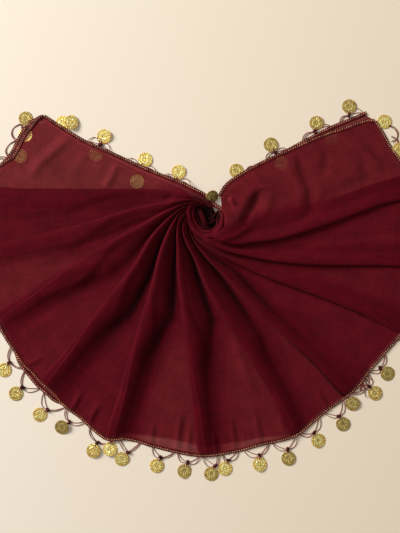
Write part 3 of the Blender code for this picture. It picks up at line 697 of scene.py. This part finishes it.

# The rolls and inner folds of the eye.
# Where the cloth is drawn together it winds round the hollow in fat soft rolls, and
# twisted folds of the same chiffon lie down inside it. Painted shade darkens them, most in the hollow.
EYE_ROLLS = (
    # half width, half height, points: x, y in the photograph's pixels and height
    (3.7, 2.6, ((223, 203, 7.4), (223, 213, 9.6), (221.2, 226, 10.4), (214.5, 235.5, 10.4),
                (204.5, 237.5, 10.4), (195, 231.5, 10.4), (189, 221, 10.4), (187.6, 210.5, 10.4),
                (191, 203.2, 10.2), (197, 201, 9.6), (203, 202.4, 8.2), (208, 205.5, 6.4))),
    (2.6, 2.2, ((217.5, 215, 5.0), (217.6, 226, 7.0), (212.5, 232.2, 8.0), (204.3, 232.4, 8.2),
                (196.6, 226.4, 8.2), (192.8, 217.5, 8.2), (192.4, 209.8, 8.0), (195.2, 205.4, 7.2),
                (200, 204.9, 6.2), (206, 209, 4.6))),
    (2.2, 1.9, ((214, 228.5, 3.0), (207.5, 229, 4.2), (200.8, 225.6, 5.0), (196.9, 219, 5.2),
                (196, 212.5, 5.0), (197.8, 208, 4.2), (201, 207.5, 3.0))),
    (3.6, 2.6, ((198.2, 206.5, 2.0), (200.4, 212, 5.0), (203.4, 219, 5.6), (206, 225.5, 3.6),
                (207.5, 229.5, 1.6))),
    (1.3, 1.2, ((209, 221.5, 3.6), (212.5, 217.5, 4.8), (216.5, 213, 5.4), (219, 210, 5.0))),
    (1.1, 1.0, ((209.5, 213, 4.0), (213.5, 217.5, 4.8), (216.5, 222.5, 4.4))),
    (1.2, 1.0, ((207.5, 224.5, 3.4), (211.5, 222.5, 4.4), (215.8, 219.5, 5.0))),
)
HOLLOW = ((202.5, 206), (209, 208.5), (214.5, 213), (217.5, 221), (215.5, 230), (209, 235),
          (201, 233.5), (194.5, 227.5), (191.5, 218.5), (192.5, 210), (196.5, 206))


HOLLOW_RINGS = (
    # share of the hollow's rim, height
    (1.12, 6.0), (1.0, 3.0), (0.75, 1.4), (0.4, 1.1),
)


def evened(points, count, rounding):
    """Evenly spread points along a line, with its corners rounded off."""
    runs = run_lengths(points)
    at = np.linspace(0, runs[-1], count)
    line = np.column_stack([np.interp(at, runs, column) for column in points.T])
    for _ in range(rounding):
        line[1:-1] = (line[:-2] + 2 * line[1:-1] + line[2:]) / 4
    return line


def smooth_path(points, count):
    return evened(np.array(points, float), count, max(2, count // 14))


def band_faces(first, second, sides):
    """The faces between two rings, given by the number of each one's first point."""
    turned = [(k, (k + 1) % sides) for k in range(sides)]
    return [(first + k, second + k, second + n, first + n) for k, n in turned]


def sweep(points, faces, line, wide, high, sides=14):
    """A tapering roll of cloth along a line, closed at both ends."""
    start, count = len(points), len(line)
    for k, (x, y, z) in enumerate(line):
        ahead = line[min(k + 1, count - 1)] - line[max(k - 1, 0)]
        ahead = ahead / np.hypot(ahead[0], ahead[1])
        side = np.array((-ahead[1], ahead[0]))
        end = min(k, count - 1 - k) / (0.22 * count)
        taper = max(math.sqrt(min(end, 1.0)), 0.03)
        for j in range(sides):
            a = 2 * math.pi * j / sides
            across, up = wide * taper * math.cos(a), high * taper * math.sin(a)
            points.append((x + side[0] * across, y + side[1] * across, z + up))
    for k in range(count - 1):
        faces += band_faces(start + k * sides, start + (k + 1) * sides, sides)
    faces.append(tuple(start + j for j in range(sides)))
    faces.append(tuple(start + (count - 1) * sides + j for j in range(sides))[::-1])


def build_eye_folds():
    points, faces = [], []
    for wide, high, route in EYE_ROLLS:
        line = smooth_path([(*from_pixel(x, y), z) for x, y, z in route], 10 * len(route))
        sweep(points, faces, line, wide, high)
    rolls = len(points)
    rim = smooth_path([(*from_pixel(x, y), 0.0) for x, y in HOLLOW + HOLLOW[:1]], 60)[:-1]
    middle = rim[:, :2].mean(axis=0)
    for ring, (scale, z) in enumerate(HOLLOW_RINGS):
        for x, y, _ in rim:
            bent = 0.5 * math.sin(5 * math.atan2(y - middle[1], x - middle[0]) + ring)
            points.append((*(middle + (np.array((x, y)) - middle) * scale), z + bent * (ring > 0)))
    points.append((*middle, 1.2))
    sides = len(rim)
    starts = [rolls + ring * sides for ring in range(len(HOLLOW_RINGS))]
    for a, b in zip(starts, starts[1:]):
        faces += band_faces(a, b, sides)
    last = starts[-1]
    faces += [(last + k, len(points) - 1, last + (k + 1) % sides) for k in range(sides)]
    # Painted shade: the rolls are painted darker low down and lighter on their high tops, and the hollow's
    # floor is painted near black.
    mat = make_chiffon("chiffon_eye", ((0.0, linear(110, 16, 28)), (1.0, linear(20, 3, 6)),
                                       (0.5, linear(84, 8, 20))))
    ob = mesh_object("eye_folds", shifted(points), faces, mat)
    store_uv(ob.data, np.array(points)[:, :2] * 0.001)
    heights = np.array(points)[:, 2]
    store_value(ob.data, "layers_and_shade", np.where(np.arange(len(points)) < rolls,
                                            0.92 - 0.4 * fade(heights, 4.0, 12.0), 1.0))
    store_value(ob.data, "cover", np.ones(len(points)))
    return ob


eye_folds = build_eye_folds()
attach(eye_folds, "root")
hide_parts("upper_cloth")

# The crochet edging.
# Cotton stitches worked into the rolled hem: a cord along the cloth, a finer chain along
# the outside, a bar with a bead at its end for every stitch, and a paler lump between.
STITCH = 3.0
INNER_CORD, OUTER_CORD = 1.2, 4.1
CORD_RADIUS, CHAIN_RADIUS = 1.25, 0.8
BAR, BEAD, PICOT = (2.7, 3.8, 1.3), (2.3, 1.6, 1.3), (1.3, 1.5, 1.1)  # length, width, thickness


def hem_route():
    """The upper layer's visible hem, in order round the eye."""
    last = upper_grid[-1][hem_seen]
    angle = np.degrees(np.arctan2(last[:, 1], last[:, 0])) % 360
    angle = np.where(angle < 100, angle + 360, angle)
    order = np.argsort(angle)
    return last[order]


def tidy_route(route, step=1.3):
    """Even steps along a route, with its small jogs rounded off."""
    kept = [route[0]]
    for p in route[1:]:
        if np.hypot(*(p - kept[-1])[:2]) > 0.8:
            kept.append(p)
    kept = np.array(kept)
    return evened(kept, max(int(run_lengths(kept)[-1] / step), 4), 3)


def beside(line, distance, way):
    """The same line set off to one side on the plan."""
    ahead = np.gradient(line[:, :2], axis=0)
    ahead = ahead / np.maximum(np.hypot(*ahead.T), 1e-6)[:, None]
    out = np.column_stack((-ahead[:, 1], ahead[:, 0])) * way
    moved = line.copy()
    moved[:, :2] += out * distance
    return moved


def edging_routes():
    """A row per crochet edging: its nodes, its line on the cloth's edge, its outer side."""
    hem = tidy_route(hem_route())
    shown = (hem[:, 0] < -180) & (hem[:, 1] > 66) & (hem[:, 1] < 127)
    tip, inside = hem[shown], beside(hem, -4.6, -1)[shown]
    along = np.linspace(0, 1, len(tip))
    tip = tip + (inside - tip) * (fade(along, 0, 0.25) * fade(1 - along, 0, 0.25))[:, None]
    tip[:, 2] = 4.0
    left = upper_grid[:, 0][np.hypot(*upper_grid[:, 0, :2].T) > 20]
    in_eye = [(*from_pixel(*p), 14.0) for p in ((221, 220), (220.5, 215), (218.5, 209.5))]
    left = np.vstack((in_eye, left))
    right = upper_grid[:, -1][np.hypot(*upper_grid[:, -1, :2].T) > 37]
    reach = np.linspace(70, 247, 90)
    under_right = np.column_stack((under_right_edge(reach), np.full(90, UNDER_HEIGHT)))
    angle = np.linspace(216, 234, 60)
    under_left = np.column_stack((under_hem_points(angle), np.full(60, UNDER_HEIGHT)))
    wing = [(*from_pixel(*p), UNDER_HEIGHT) for p in ((136, 172), (150, 181), (162, 187), (173, 191))]
    return {
        "hem_edging": (hem, -1, ("band_left", "band_bottom_1", "band_bottom_2",
                       "band_bottom_3", "band_bottom_4", "band_right")),
        "left_wing_edging": (tidy_route(left), -1, ("band_top_left",)),
        "right_wing_edging": (tidy_route(right), 1, ("band_upper_right",)),
        "under_right_edging": (tidy_route(under_right), 1, ("band_top_right",)),
        "under_left_edging": (tidy_route(under_left), -1, ("band_under_left",)),
        "under_wing_edging": (tidy_route(np.array(wing)), -1, ()),
        "under_tip_edging": (tip, -1, ()),
    }


def route_mesh(name, lines):
    """Edges only, for the node trees to follow; lengths in metres."""
    points, edges = [], []
    for line in lines:
        edges += [(len(points) + k, len(points) + k + 1) for k in range(len(line) - 1)]
        points += [tuple(p) for p in shifted(line)]
    mesh = bpy.data.meshes.new(name)
    mesh.from_pydata(points, edges, [])
    return add_object(name, mesh)


def node_tree(name, inputs):
    tree = bpy.data.node_groups.new(name, "GeometryNodeTree")
    tree.interface.new_socket("Geometry", in_out="INPUT", socket_type="NodeSocketGeometry")
    for label, kind in inputs:
        tree.interface.new_socket(label, in_out="INPUT", socket_type="NodeSocket" + kind)
    tree.interface.new_socket("Geometry", in_out="OUTPUT", socket_type="NodeSocketGeometry")
    return tree, tree.nodes.new("NodeGroupInput"), tree.nodes.new("NodeGroupOutput")


def end_tree(tree, end, shape, material):
    """The end of every tree: its copies made real, then given their material."""
    real = add_node(tree, "GeometryNodeRealizeInstances", Geometry=shape)
    painted = add_node(tree, "GeometryNodeSetMaterial", Geometry=real.outputs["Geometry"],
                       Material=material)
    fill(tree, end, {"Geometry": painted.outputs["Geometry"]})
    return tree


def make_cord_tree():
    """Turns every line into a round thread."""
    tree, start, end = node_tree("lay_threads", (("Radius", "Float"), ("Sides", "Int"),
                                                 ("Cotton", "Material")))
    curve = add_node(tree, "GeometryNodeMeshToCurve", Mesh=start.outputs["Geometry"])
    ring = add_node(tree, "GeometryNodeCurvePrimitiveCircle", set_mode="RADIUS",
                    Radius=start.outputs["Radius"], Resolution=start.outputs["Sides"])
    tube = add_node(tree, "GeometryNodeCurveToMesh", Curve=curve.outputs["Curve"],
                    Profile_Curve=ring.outputs["Curve"], Fill_Caps=True)
    smooth = add_node(tree, "GeometryNodeSetShadeSmooth", Geometry=tube.outputs["Mesh"])
    return end_tree(tree, end, smooth.outputs["Geometry"], start.outputs["Cotton"])


def make_stitch_tree():
    """Sets one small rounded stitch after another along every line, turned to it."""
    tree, start, end = node_tree("work_stitches", (("Spacing", "Float"), ("Length", "Float"),
                                                   ("Width", "Float"), ("Thickness", "Float"),
                                                   ("Cotton", "Material")))
    curve = add_node(tree, "GeometryNodeMeshToCurve", Mesh=start.outputs["Geometry"])
    spread = add_node(tree, "GeometryNodeCurveToPoints", set_mode="LENGTH",
                      Curve=curve.outputs["Curve"], Length=start.outputs["Spacing"])
    lump = add_node(tree, "GeometryNodeMeshUVSphere", Radius=0.5, Segments=6, Rings=4)
    smooth = add_node(tree, "GeometryNodeSetShadeSmooth", Geometry=lump.outputs["Mesh"])
    turn = add_node(tree, "FunctionNodeAlignRotationToVector", set_axis="X", set_pivot_axis="Z",
                    Vector=spread.outputs["Tangent"])
    size = add_node(tree, "ShaderNodeCombineXYZ", start.outputs["Length"], start.outputs["Width"],
                    start.outputs["Thickness"])
    uneven = add_node(tree, "FunctionNodeRandomValue", set_data_type="FLOAT", Seed=7)
    fill(tree, uneven, {2: 0.82, 3: 1.16})
    place = add_node(tree, "GeometryNodeInstanceOnPoints", Points=spread.outputs["Points"],
                     Instance=smooth.outputs["Geometry"], Rotation=turn.outputs[0],
                     Scale=scaled(tree, size.outputs[0], uneven.outputs[1]))
    return end_tree(tree, end, place.outputs["Instances"], start.outputs["Cotton"])


def run_tree(ob, tree, name, **values):
    """The tree's result as a plain mesh object; the lines that it followed are removed."""
    sockets = {item.name: item.identifier for item in tree.interface.items_tree
               if item.item_type == "SOCKET" and item.in_out == "INPUT"}
    modifier = ob.modifiers.new("work", "NODES")
    modifier.node_group = tree
    for label, value in values.items():
        modifier[sockets[label]] = value
    shown = ob.evaluated_get(bpy.context.evaluated_depsgraph_get())
    mesh = bpy.data.meshes.new_from_object(shown)
    mesh.name = name
    bpy.data.objects.remove(ob, do_unlink=True)
    return add_object(name, mesh)


def joined(name, parts):
    """Several plain meshes with one material as one piece."""
    whole = bmesh.new()
    for part in parts:
        whole.from_mesh(part.data)
    mesh = bpy.data.meshes.new(name)
    whole.to_mesh(mesh)
    whole.free()
    mesh.materials.append(parts[0].data.materials[0])
    for part in parts:
        bpy.data.objects.remove(part, do_unlink=True)
    mesh.shade_smooth()
    return add_object(name, mesh)


def make_cotton(name, dark, light):
    """Twisted mercerised cotton: fine diagonal plies, with a painted highlight on their rounded tops."""
    mat, tree, shader = new_material(name, 0.5, Specular_IOR_Level=0.15, Sheen_Weight=0.03,
                                     Sheen_Tint=(0.9, 0.4, 0.3, 1))
    where = add_node(tree, "ShaderNodeTexCoord").outputs["Object"]
    twist, broad = noise(tree, where, 900.0, 2.0), noise(tree, where, 120.0, 2.0)
    # The colour follows the same twist noise as the bump, so the plies' raised tops are painted paler:
    # painted highlight.
    tone_and_highlight = calculate(tree, "MULTIPLY_ADD", twist, 0.6, broad)
    fill(tree, shader, {"Base Color": colour_ramp(tree, tone_and_highlight, ((0.6, dark), (1.0, light))),
                        "Normal": bumped(tree, twist, 0.5, 0.0002)})
    return mat


cord_tree, stitch_tree = make_cord_tree(), make_stitch_tree()
edging_cotton = make_cotton("edging_cotton", linear(62, 8, 13), linear(108, 27, 25))
picot_cotton = make_cotton("picot_cotton", linear(190, 112, 80), linear(248, 204, 162))


def lay_threads(name, lines, radius, sides, cotton):
    return run_tree(route_mesh(name + "_lines", lines), cord_tree, name, Radius=radius / 1000,
                    Sides=sides, Cotton=cotton)


def work_stitches(name, lines, size, cotton, spacing=STITCH):
    """Lumps of thread along lines; the size is length, width and thickness."""
    length, width, thickness = size
    return run_tree(route_mesh(name + "_lines", lines), stitch_tree, name,
                    Spacing=spacing / 1000, Length=length / 1000, Width=width / 1000,
                    Thickness=thickness / 1000, Cotton=cotton)


def build_edging(name, line, way):
    """A cord, a chain, the bars between them and a bead of thread at each bar's outer end."""
    line = line * (1.0, 1.0, 0.5) + (0.0, 0.0, 0.15)
    inner, mid, outer, rim = (beside(line, distance, way) for distance in (
        INNER_CORD, (INNER_CORD + OUTER_CORD) / 2, OUTER_CORD, OUTER_CORD + 0.3))
    return joined(name, [lay_threads("cord", [inner], CORD_RADIUS, 6, edging_cotton),
                         lay_threads("chain", [outer], CHAIN_RADIUS, 5, edging_cotton),
                         work_stitches("bars", [mid], BAR, edging_cotton),
                         work_stitches("beads", [rim], BEAD, edging_cotton)])


def picot_line(line, way):
    """The row of pale lumps, half a stitch on from the bars."""
    line = line * (1.0, 1.0, 0.5) + (0.0, 0.0, 1.05)
    return beside(line, 3.0, way)[1:]


routes = edging_routes()
edgings = {}
for piece_name, (line, way, nodes) in routes.items():
    edgings[piece_name] = build_edging(piece_name, line, way)
    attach(edgings[piece_name], "root")
    if nodes:
        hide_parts(*nodes)
picots = work_stitches("picots", [picot_line(line, way) for line, way, _ in routes.values()],
                       PICOT, picot_cotton)
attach(picots, "root")

# The thread loops that carry the coins.
# Two fine cotton threads run from the edging to a knot over each coin, and a short
# double thread goes on through the coin's hole. A few loops hang empty.
COIN_RADIUS, HOLE_INSET = 9.0, 2.4
LOOP_RADIUS, LOW_THREAD = 0.42, 0.42  # a thread that lies on the table is its own radius up
KNOT, KNOT_STEP, KNOT_GAP = (3.6, 4.4, 2.4), 1.1, 2.6  # the gap is that to the coin's rim
LOOP_SPREAD = 18.0  # from a loop's middle to where each of its threads leaves the edging
HUNG_COINS = (
    # edging, then x, y and knot angle of each of its coins
    ("left_wing_edging", ((-176.5, 121.9, None), (-165.7, 122.5, None), (-124.1, 104.8, -115),
        (-71.9, 75.4, -125), (-29.6, 59.7, -105), (12.4, 27.6, None))),
    ("hem_edging", ((-223.5, 127.4, None), (-224.0, 106.7, None), (-273.0, 78.0, -30),
        (-322.0, 19.0, 0), (-333.0, -32.0, 8), (-312.0, -85.0, 15), (-284.0, -140.0, 32),
        (-250.8, -191.8, 57))),
    ("under_left_edging", ((-236.2, -221.7, 43), (-205.7, -248.4, 32))),
    ("hem_edging", ((-177.8, -264.2, 35), (-137.8, -294.3, 64), (-116.8, -292.1, None),
        (-101.6, -304.8, 49), (-57.2, -313.3, 65), (-22.2, -320.0, 70), (11.7, -323.6, 64),
        (29.3, -317.0, 70), (73.4, -311.5, 91), (109.9, -303.9, 95), (147.8, -281.3, 119),
        (179.2, -260.4, 118), (191.1, -234.3, None), (219.7, -221.0, 132), (235.6, -196.2, 145),
        (274.0, -150.0, 150), (302.0, -108.0, 160), (321.0, -62.0, 172), (318.0, -14.0, 185),
        (297.0, 34.0, 200), (250.5, 88.0, None), (231.5, 123.5, None))),
    ("under_right_edging", ((43.8, 61.2, -40), (87.4, 94.5, -62), (145.4, 121.9, -100),
        (186.9, 142.9, -92))),
)
COINS = [(name, *coin) for name, coins in HUNG_COINS for coin in coins]
STACKED_COIN, EYE_COIN, TIPPED_COIN = 1, 5, 7
COIN_TOP, STACKED_UP = 1.15, 1.2


def bowed(a, b, out, belly, count=10):
    """A slack thread from a to b that bellies out to one side and lies down low."""
    a, b = np.array(a, float), np.array(b, float)
    line = []
    for t in np.linspace(0, 1, count):
        p = a + (b - a) * t
        p[:2] += np.asarray(out) * belly * math.sin(math.pi * t ** 0.8)
        above = max(p[2] - LOW_THREAD, 0.0)
        p[2] = LOW_THREAD + above * (1 - 0.97 * math.sin(math.pi * t) ** 0.6)
        line.append(p)
    return np.array(line)


def plan_threads():
    """The lines of all threads, the middles of the knots, and the turn of each coin's hole."""
    lines, knots, turns = [], [], {}
    spread = np.random.default_rng(11)
    hooks = []
    for k, (name, x, y, knot_angle) in enumerate(COINS):
        line, way, _ = routes[name]
        rim = beside(line, OUTER_CORD + 0.4, way)
        rim[:, 2] = rim[:, 2] * 0.6 + 0.2
        out = (rim - beside(line, 0.0, way))[:, :2]
        middle = np.array((x, y))
        knot = middle if knot_angle is None else middle + polar(knot_angle, COIN_RADIUS + KNOT_GAP)
        near = int(np.argmin(np.hypot(*(rim[:, :2] - knot).T)))
        hooks.append((name, k, rim, near, middle, knot, out / np.hypot(*out.T)[:, None]))
    for name, k, rim, near, middle, knot, out in hooks:
        others = [h[3] for h in hooks if h[0] == name and h[1] != k and COINS[h[1]][3] is not None]
        step = float(np.hypot(*(rim[1] - rim[0])[:2]))
        over = COIN_TOP + (STACKED_UP if k == STACKED_COIN else 0.0)
        if COINS[k][3] is None:
            toward = rim[near, :2] - middle
            away = max(np.hypot(*toward), 1e-6)
            turns[k] = math.degrees(math.atan2(toward[1], toward[0]))
            reach = min(away, COIN_RADIUS - HOLE_INSET)
            hole = middle + toward / away * reach
            if k != TIPPED_COIN:
                for side in (-0.5, 0.5):
                    start = (rim[near, 0] + side, rim[near, 1] + side, max(rim[near, 2], over))
                    lines.append(bowed(start, (*hole, over), out[near], side, 5))
            continue
        turns[k] = math.degrees(math.atan2(*(knot - middle)[::-1]))
        hole = middle + polar(turns[k], COIN_RADIUS - HOLE_INSET)
        before = max([o for o in others if o < near] + [near - 99])
        after = min([o for o in others if o > near] + [near + 99])
        swing = spread.uniform(0.8, 1.2, 2)
        first = near - int(min(LOOP_SPREAD * swing[0] / step, 0.5 * (near - before) - 1))
        second = near + int(min(LOOP_SPREAD * swing[1] / step, 0.5 * (after - near) - 1))
        knots.append((*knot, 1.25))
        for end, inward in ((first, 1), (second, -1)):
            belly = spread.uniform((3.6, 0.4), (7.6, 3.0))
            for strand in (0, 1):
                at = int(np.clip(end + inward * strand * spread.integers(1, 3), 0, len(rim) - 1))
                start = (*rim[at, :2], max(rim[at, 2], 0.5))
                lines.append(bowed(start, (*knot, 1.1), out[at], belly[strand]))
        for side in (-0.9, 0.9):
            aside = polar(turns[k] + 90, side)
            lines.append(np.array([(*knot, 1.2), (*((knot + hole) / 2 + 0.6 * aside), over + 0.3),
                                   (*hole, over + 0.15)]))
        lines.append(np.array([(*hole, over), (*(middle + polar(turns[k], 8.0)), over - 0.1),
                               (*(middle + polar(turns[k], 9.5)), 0.5)]))
    return lines, knots, turns


TANGLES = (
    # threads, corner and size of the patch in the photograph's pixels
    (25, (354, 375), (12, 15)), (9, (25, 120), (9, 7)),
)


def loose_loops():
    """Loops without a coin: two on the upper left hem and a bunch at the lower right."""
    lines = []
    for pixels in (((25, 124), (18, 125), (12, 129), (11, 135), (14, 140), (19, 141)),
                   ((18, 140), (11, 143), (6, 148), (5, 153), (8, 157), (12, 157)),
                   ((30, 121), (24, 122), (21, 127), (23, 132), (27, 131)),
                   ((388, 126), (394, 128), (398, 134), (396, 141), (391, 142)),
                   ((391, 137), (397, 140), (399, 147), (395, 152))):
        loop = smooth_path([(*from_pixel(*p), LOW_THREAD) for p in pixels], 16)
        loop[:, 2] += 1.2 * np.abs(np.linspace(-1, 1, 16)) ** 3
        lines += [loop, loop + (0.9, 1.1, 0.1)]
    tangle = np.random.default_rng(4)
    for count, corner, size in TANGLES:
        for _ in range(count):
            a = from_pixel(*(tangle.uniform(0, 1, 2) * size + corner))
            b = a + tangle.uniform(-11, 11, 2)
            side = tangle.uniform(-1, 1, 2)
            lines.append(bowed((*a, tangle.uniform(0.8, 2.4)), (*b, tangle.uniform(0.6, 2.0)),
                               side, tangle.uniform(2, 6)))
    return lines


def knot_points(places):
    """Three short steps through each knot, so that stitches lie there as its lump."""
    lines = []
    for k, place in enumerate(places):
        turn = 2.4 * k
        step = np.array((math.cos(turn), math.sin(turn), 0.2)) * 1.5
        middle = np.array(place)
        lines.append(np.array((middle - step, middle + (0.0, 0.0, 0.2), middle + step)))
    return lines


thread_lines, knot_places, hole_turns = plan_threads()
loop_cotton = make_cotton("loop_cotton", linear(98, 22, 20), linear(142, 52, 40))
knot_cotton = make_cotton("knot_cotton", linear(46, 7, 10), linear(78, 20, 18))
thread_loops = lay_threads("thread_loops", thread_lines + loose_loops(), LOOP_RADIUS, 5, loop_cotton)
knots = work_stitches("knots", knot_points(knot_places), KNOT, knot_cotton, KNOT_STEP)
for piece in (thread_loops, knots):
    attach(piece, "root")

# The coins.
# Thin stamped brass discs with a punched hole, a beaded rim and a plain rosette. Their
# high parts are rubbed bright and the ground of the stamp has gone dull, deepened by painted shade.
HIDDEN_COINS = ((-230.5, 80.0), (-134.4, 81.7), (-82.3, 47.5), (101.1, 70.7), (164.3, 102.2))
COIN_THICK, HOLE_RADIUS = 0.5, 1.15
LEAN_SPREAD = 0.075  # radians
FULL_RELIEF, BACK_RELIEF = 0.5, 0.2  # the highest stamp, and how worn the back looks


def stamp_height(x, y):
    """The relief of the stamp in millimetres: beads, a ring, petals and a boss."""
    reach, angle = np.hypot(x, y), np.arctan2(y, x)
    beads = 0.5 * np.exp(-((reach - 7.6) / 0.65) ** 2) * np.abs(np.sin(9 * angle)) ** 1.3
    ring = 0.25 * np.exp(-((reach - 6.4) / 0.32) ** 2)
    petals = 0.5 * np.abs(np.cos(4 * angle)) ** 1.6 * fade(reach, 1.4, 2.6) * (1 - fade(reach, 5.2, 6.1))
    inner = 0.4 * np.abs(np.sin(4 * angle)) ** 3 * np.exp(-((reach - 4.9) / 0.6) ** 2)
    boss = 0.3 * (1 - fade(reach, 0.7, 1.5))
    edge = 0.12 * fade(reach, 8.3, 8.7)
    return beads + ring + petals + inner + boss + edge


def build_coin_shape():
    """One coin on its back with its hole towards +X; metres."""
    sides, rings = 88, 13
    turn = np.linspace(0, 2 * np.pi, sides, endpoint=False)
    circle = np.column_stack((np.cos(turn), np.sin(turn)))
    rim, hole = circle * COIN_RADIUS, circle * HOLE_RADIUS + (COIN_RADIUS - HOLE_INSET, 0.0)
    points, relief = [], []
    for share in np.linspace(0, 1, rings):
        ring = hole + (rim - hole) * share
        high = stamp_height(ring[:, 0], ring[:, 1])
        points += [(x, y, COIN_THICK + h) for (x, y), h in zip(ring, high)]
        relief += list(high / FULL_RELIEF)
    for ring in (rim, hole):
        points += [(x, y, 0.0) for x, y in ring]
        relief += [BACK_RELIEF] * sides
    starts = [ring * sides for ring in range(rings + 2)] + [0]
    faces = [face for a, b in zip(starts, starts[1:]) for face in band_faces(a, b, sides)]
    mesh = bpy.data.meshes.new("coin_shape")
    mesh.from_pydata([tuple(v * 0.001 for v in p) for p in points], [], faces)
    store_value(mesh, "relief", relief)
    mesh.shade_smooth()
    mesh.set_sharp_from_angle(angle=math.radians(48))
    return add_object("coin_shape", mesh)


def make_coin_tree(shape):
    """A copy of the coin on every point, turned by its own angles, each with its own tone."""
    tree, start, end = node_tree("hang_coins", (("Brass", "Material"), ("Seed", "Int")))
    points = add_node(tree, "GeometryNodeMeshToPoints", Mesh=start.outputs["Geometry"])
    coin = add_node(tree, "GeometryNodeObjectInfo", Object=shape)
    lie = add_node(tree, "GeometryNodeInputNamedAttribute", set_data_type="FLOAT_VECTOR",
                   Name="lie")
    turn = add_node(tree, "FunctionNodeEulerToRotation", lie.outputs["Attribute"])
    place = add_node(tree, "GeometryNodeInstanceOnPoints", Points=points.outputs["Points"],
                     Instance=coin.outputs["Geometry"], Rotation=turn.outputs[0])
    tone = add_node(tree, "FunctionNodeRandomValue", set_data_type="FLOAT",
                    Seed=start.outputs["Seed"])
    keep = add_node(tree, "GeometryNodeStoreNamedAttribute", set_data_type="FLOAT",
                    set_domain="INSTANCE", Geometry=place.outputs["Instances"],
                    Name="coin_tone", Value=tone.outputs[1])
    return end_tree(tree, end, keep.outputs["Geometry"], start.outputs["Brass"])


def make_brass():
    """Gilt brass: dull brown in the stamp's ground with painted shade in its recesses, rubbed and
    scratched on the tops.
    """
    mat, tree, shader = new_material("gilt_brass", 0.3, Metallic=0.82)
    where = add_node(tree, "ShaderNodeTexCoord").outputs["Object"]
    grime = noise(tree, where, 420.0, 4.0, 0.65)
    # The stamp's height darkens the ground and brightens the tops: tarnish and wear, with painted shade in
    # the recesses.
    grime_and_recess_shade = calculate(tree, "MULTIPLY_ADD", grime, 1.5, stored(tree, "relief"))
    wear_and_recess_shade = ranged(tree, grime_and_recess_shade, 0.0, 1.0, 0.62, 1.55)
    gilt = colour_ramp(tree, wear_and_recess_shade, ((0.0, linear(70, 54, 18)), (1.0, linear(255, 240, 160)),
                                    (0.45, linear(212, 172, 82))))
    tone = ranged(tree, stored(tree, "coin_tone"), 0.68, 1.6, 0.0, 1.0)
    nicks = noise(tree, where, 640.0, 1.0)
    fill(tree, shader, {"Base Color": scaled(tree, gilt, tone),
                        "Roughness": ranged(tree, wear_and_recess_shade, 0.5, 0.22, 0.0, 1.0),
                        "Normal": bumped(tree, nicks, 0.8, 0.0006)})
    return mat


def coin_places(rows):
    """Points with the angles at which each coin lies."""
    mesh = bpy.data.meshes.new("coin_places")
    mesh.from_pydata([tuple(shifted([p])[0]) for p, _ in rows], [], [])
    lie = mesh.attributes.new("lie", "FLOAT_VECTOR", "POINT")
    lie.data.foreach_set("vector", np.array([angles for _, angles in rows], float).ravel())
    return add_object("coin_places", mesh)


def facing(direction, amount, turn):
    """Angles of a coin whose hole points to `turn` and whose face leans to `direction`."""
    lean = polar(direction - turn, amount)
    return -lean[1], lean[0], math.radians(turn)


def hem_coin_rows():
    rows, slant = [], np.random.default_rng(23)
    for k, (_, x, y, _) in enumerate(COINS):
        direction, amount = slant.uniform(0, 360), abs(slant.normal(0.0, LEAN_SPREAD))
        high = 0.05 + 6.0 * amount
        if k == STACKED_COIN:
            high += STACKED_UP
        if k == TIPPED_COIN:
            high, direction, amount = 1.0, 144, 0.15
        if k == EYE_COIN:
            high, direction, amount = 4.8, -42, 0.66
        rows.append(((x, y, high), facing(direction, amount, hole_turns[k])))
    return rows


coin_shape = build_coin_shape()
coin_tree = make_coin_tree(coin_shape)
gilt_brass = make_brass()
hem_coins = run_tree(coin_places(hem_coin_rows()), coin_tree, "hem_coins", Brass=gilt_brass, Seed=3)
between = [((x, y, 1.0), (0.0, 0.0, math.radians(120 + 40 * k)))
           for k, (x, y) in enumerate(HIDDEN_COINS)]
inner_coins = run_tree(coin_places(between), coin_tree, "inner_coins", Brass=gilt_brass, Seed=9)
bpy.data.objects.remove(coin_shape, do_unlink=True)
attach(hem_coins, "root")
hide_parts(*(f"coin_{k + 1:02d}" for k in range(len(COINS))))
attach(inner_coins, "root")
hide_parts(*(f"hidden_coin_{k + 1}" for k in range(len(HIDDEN_COINS))))
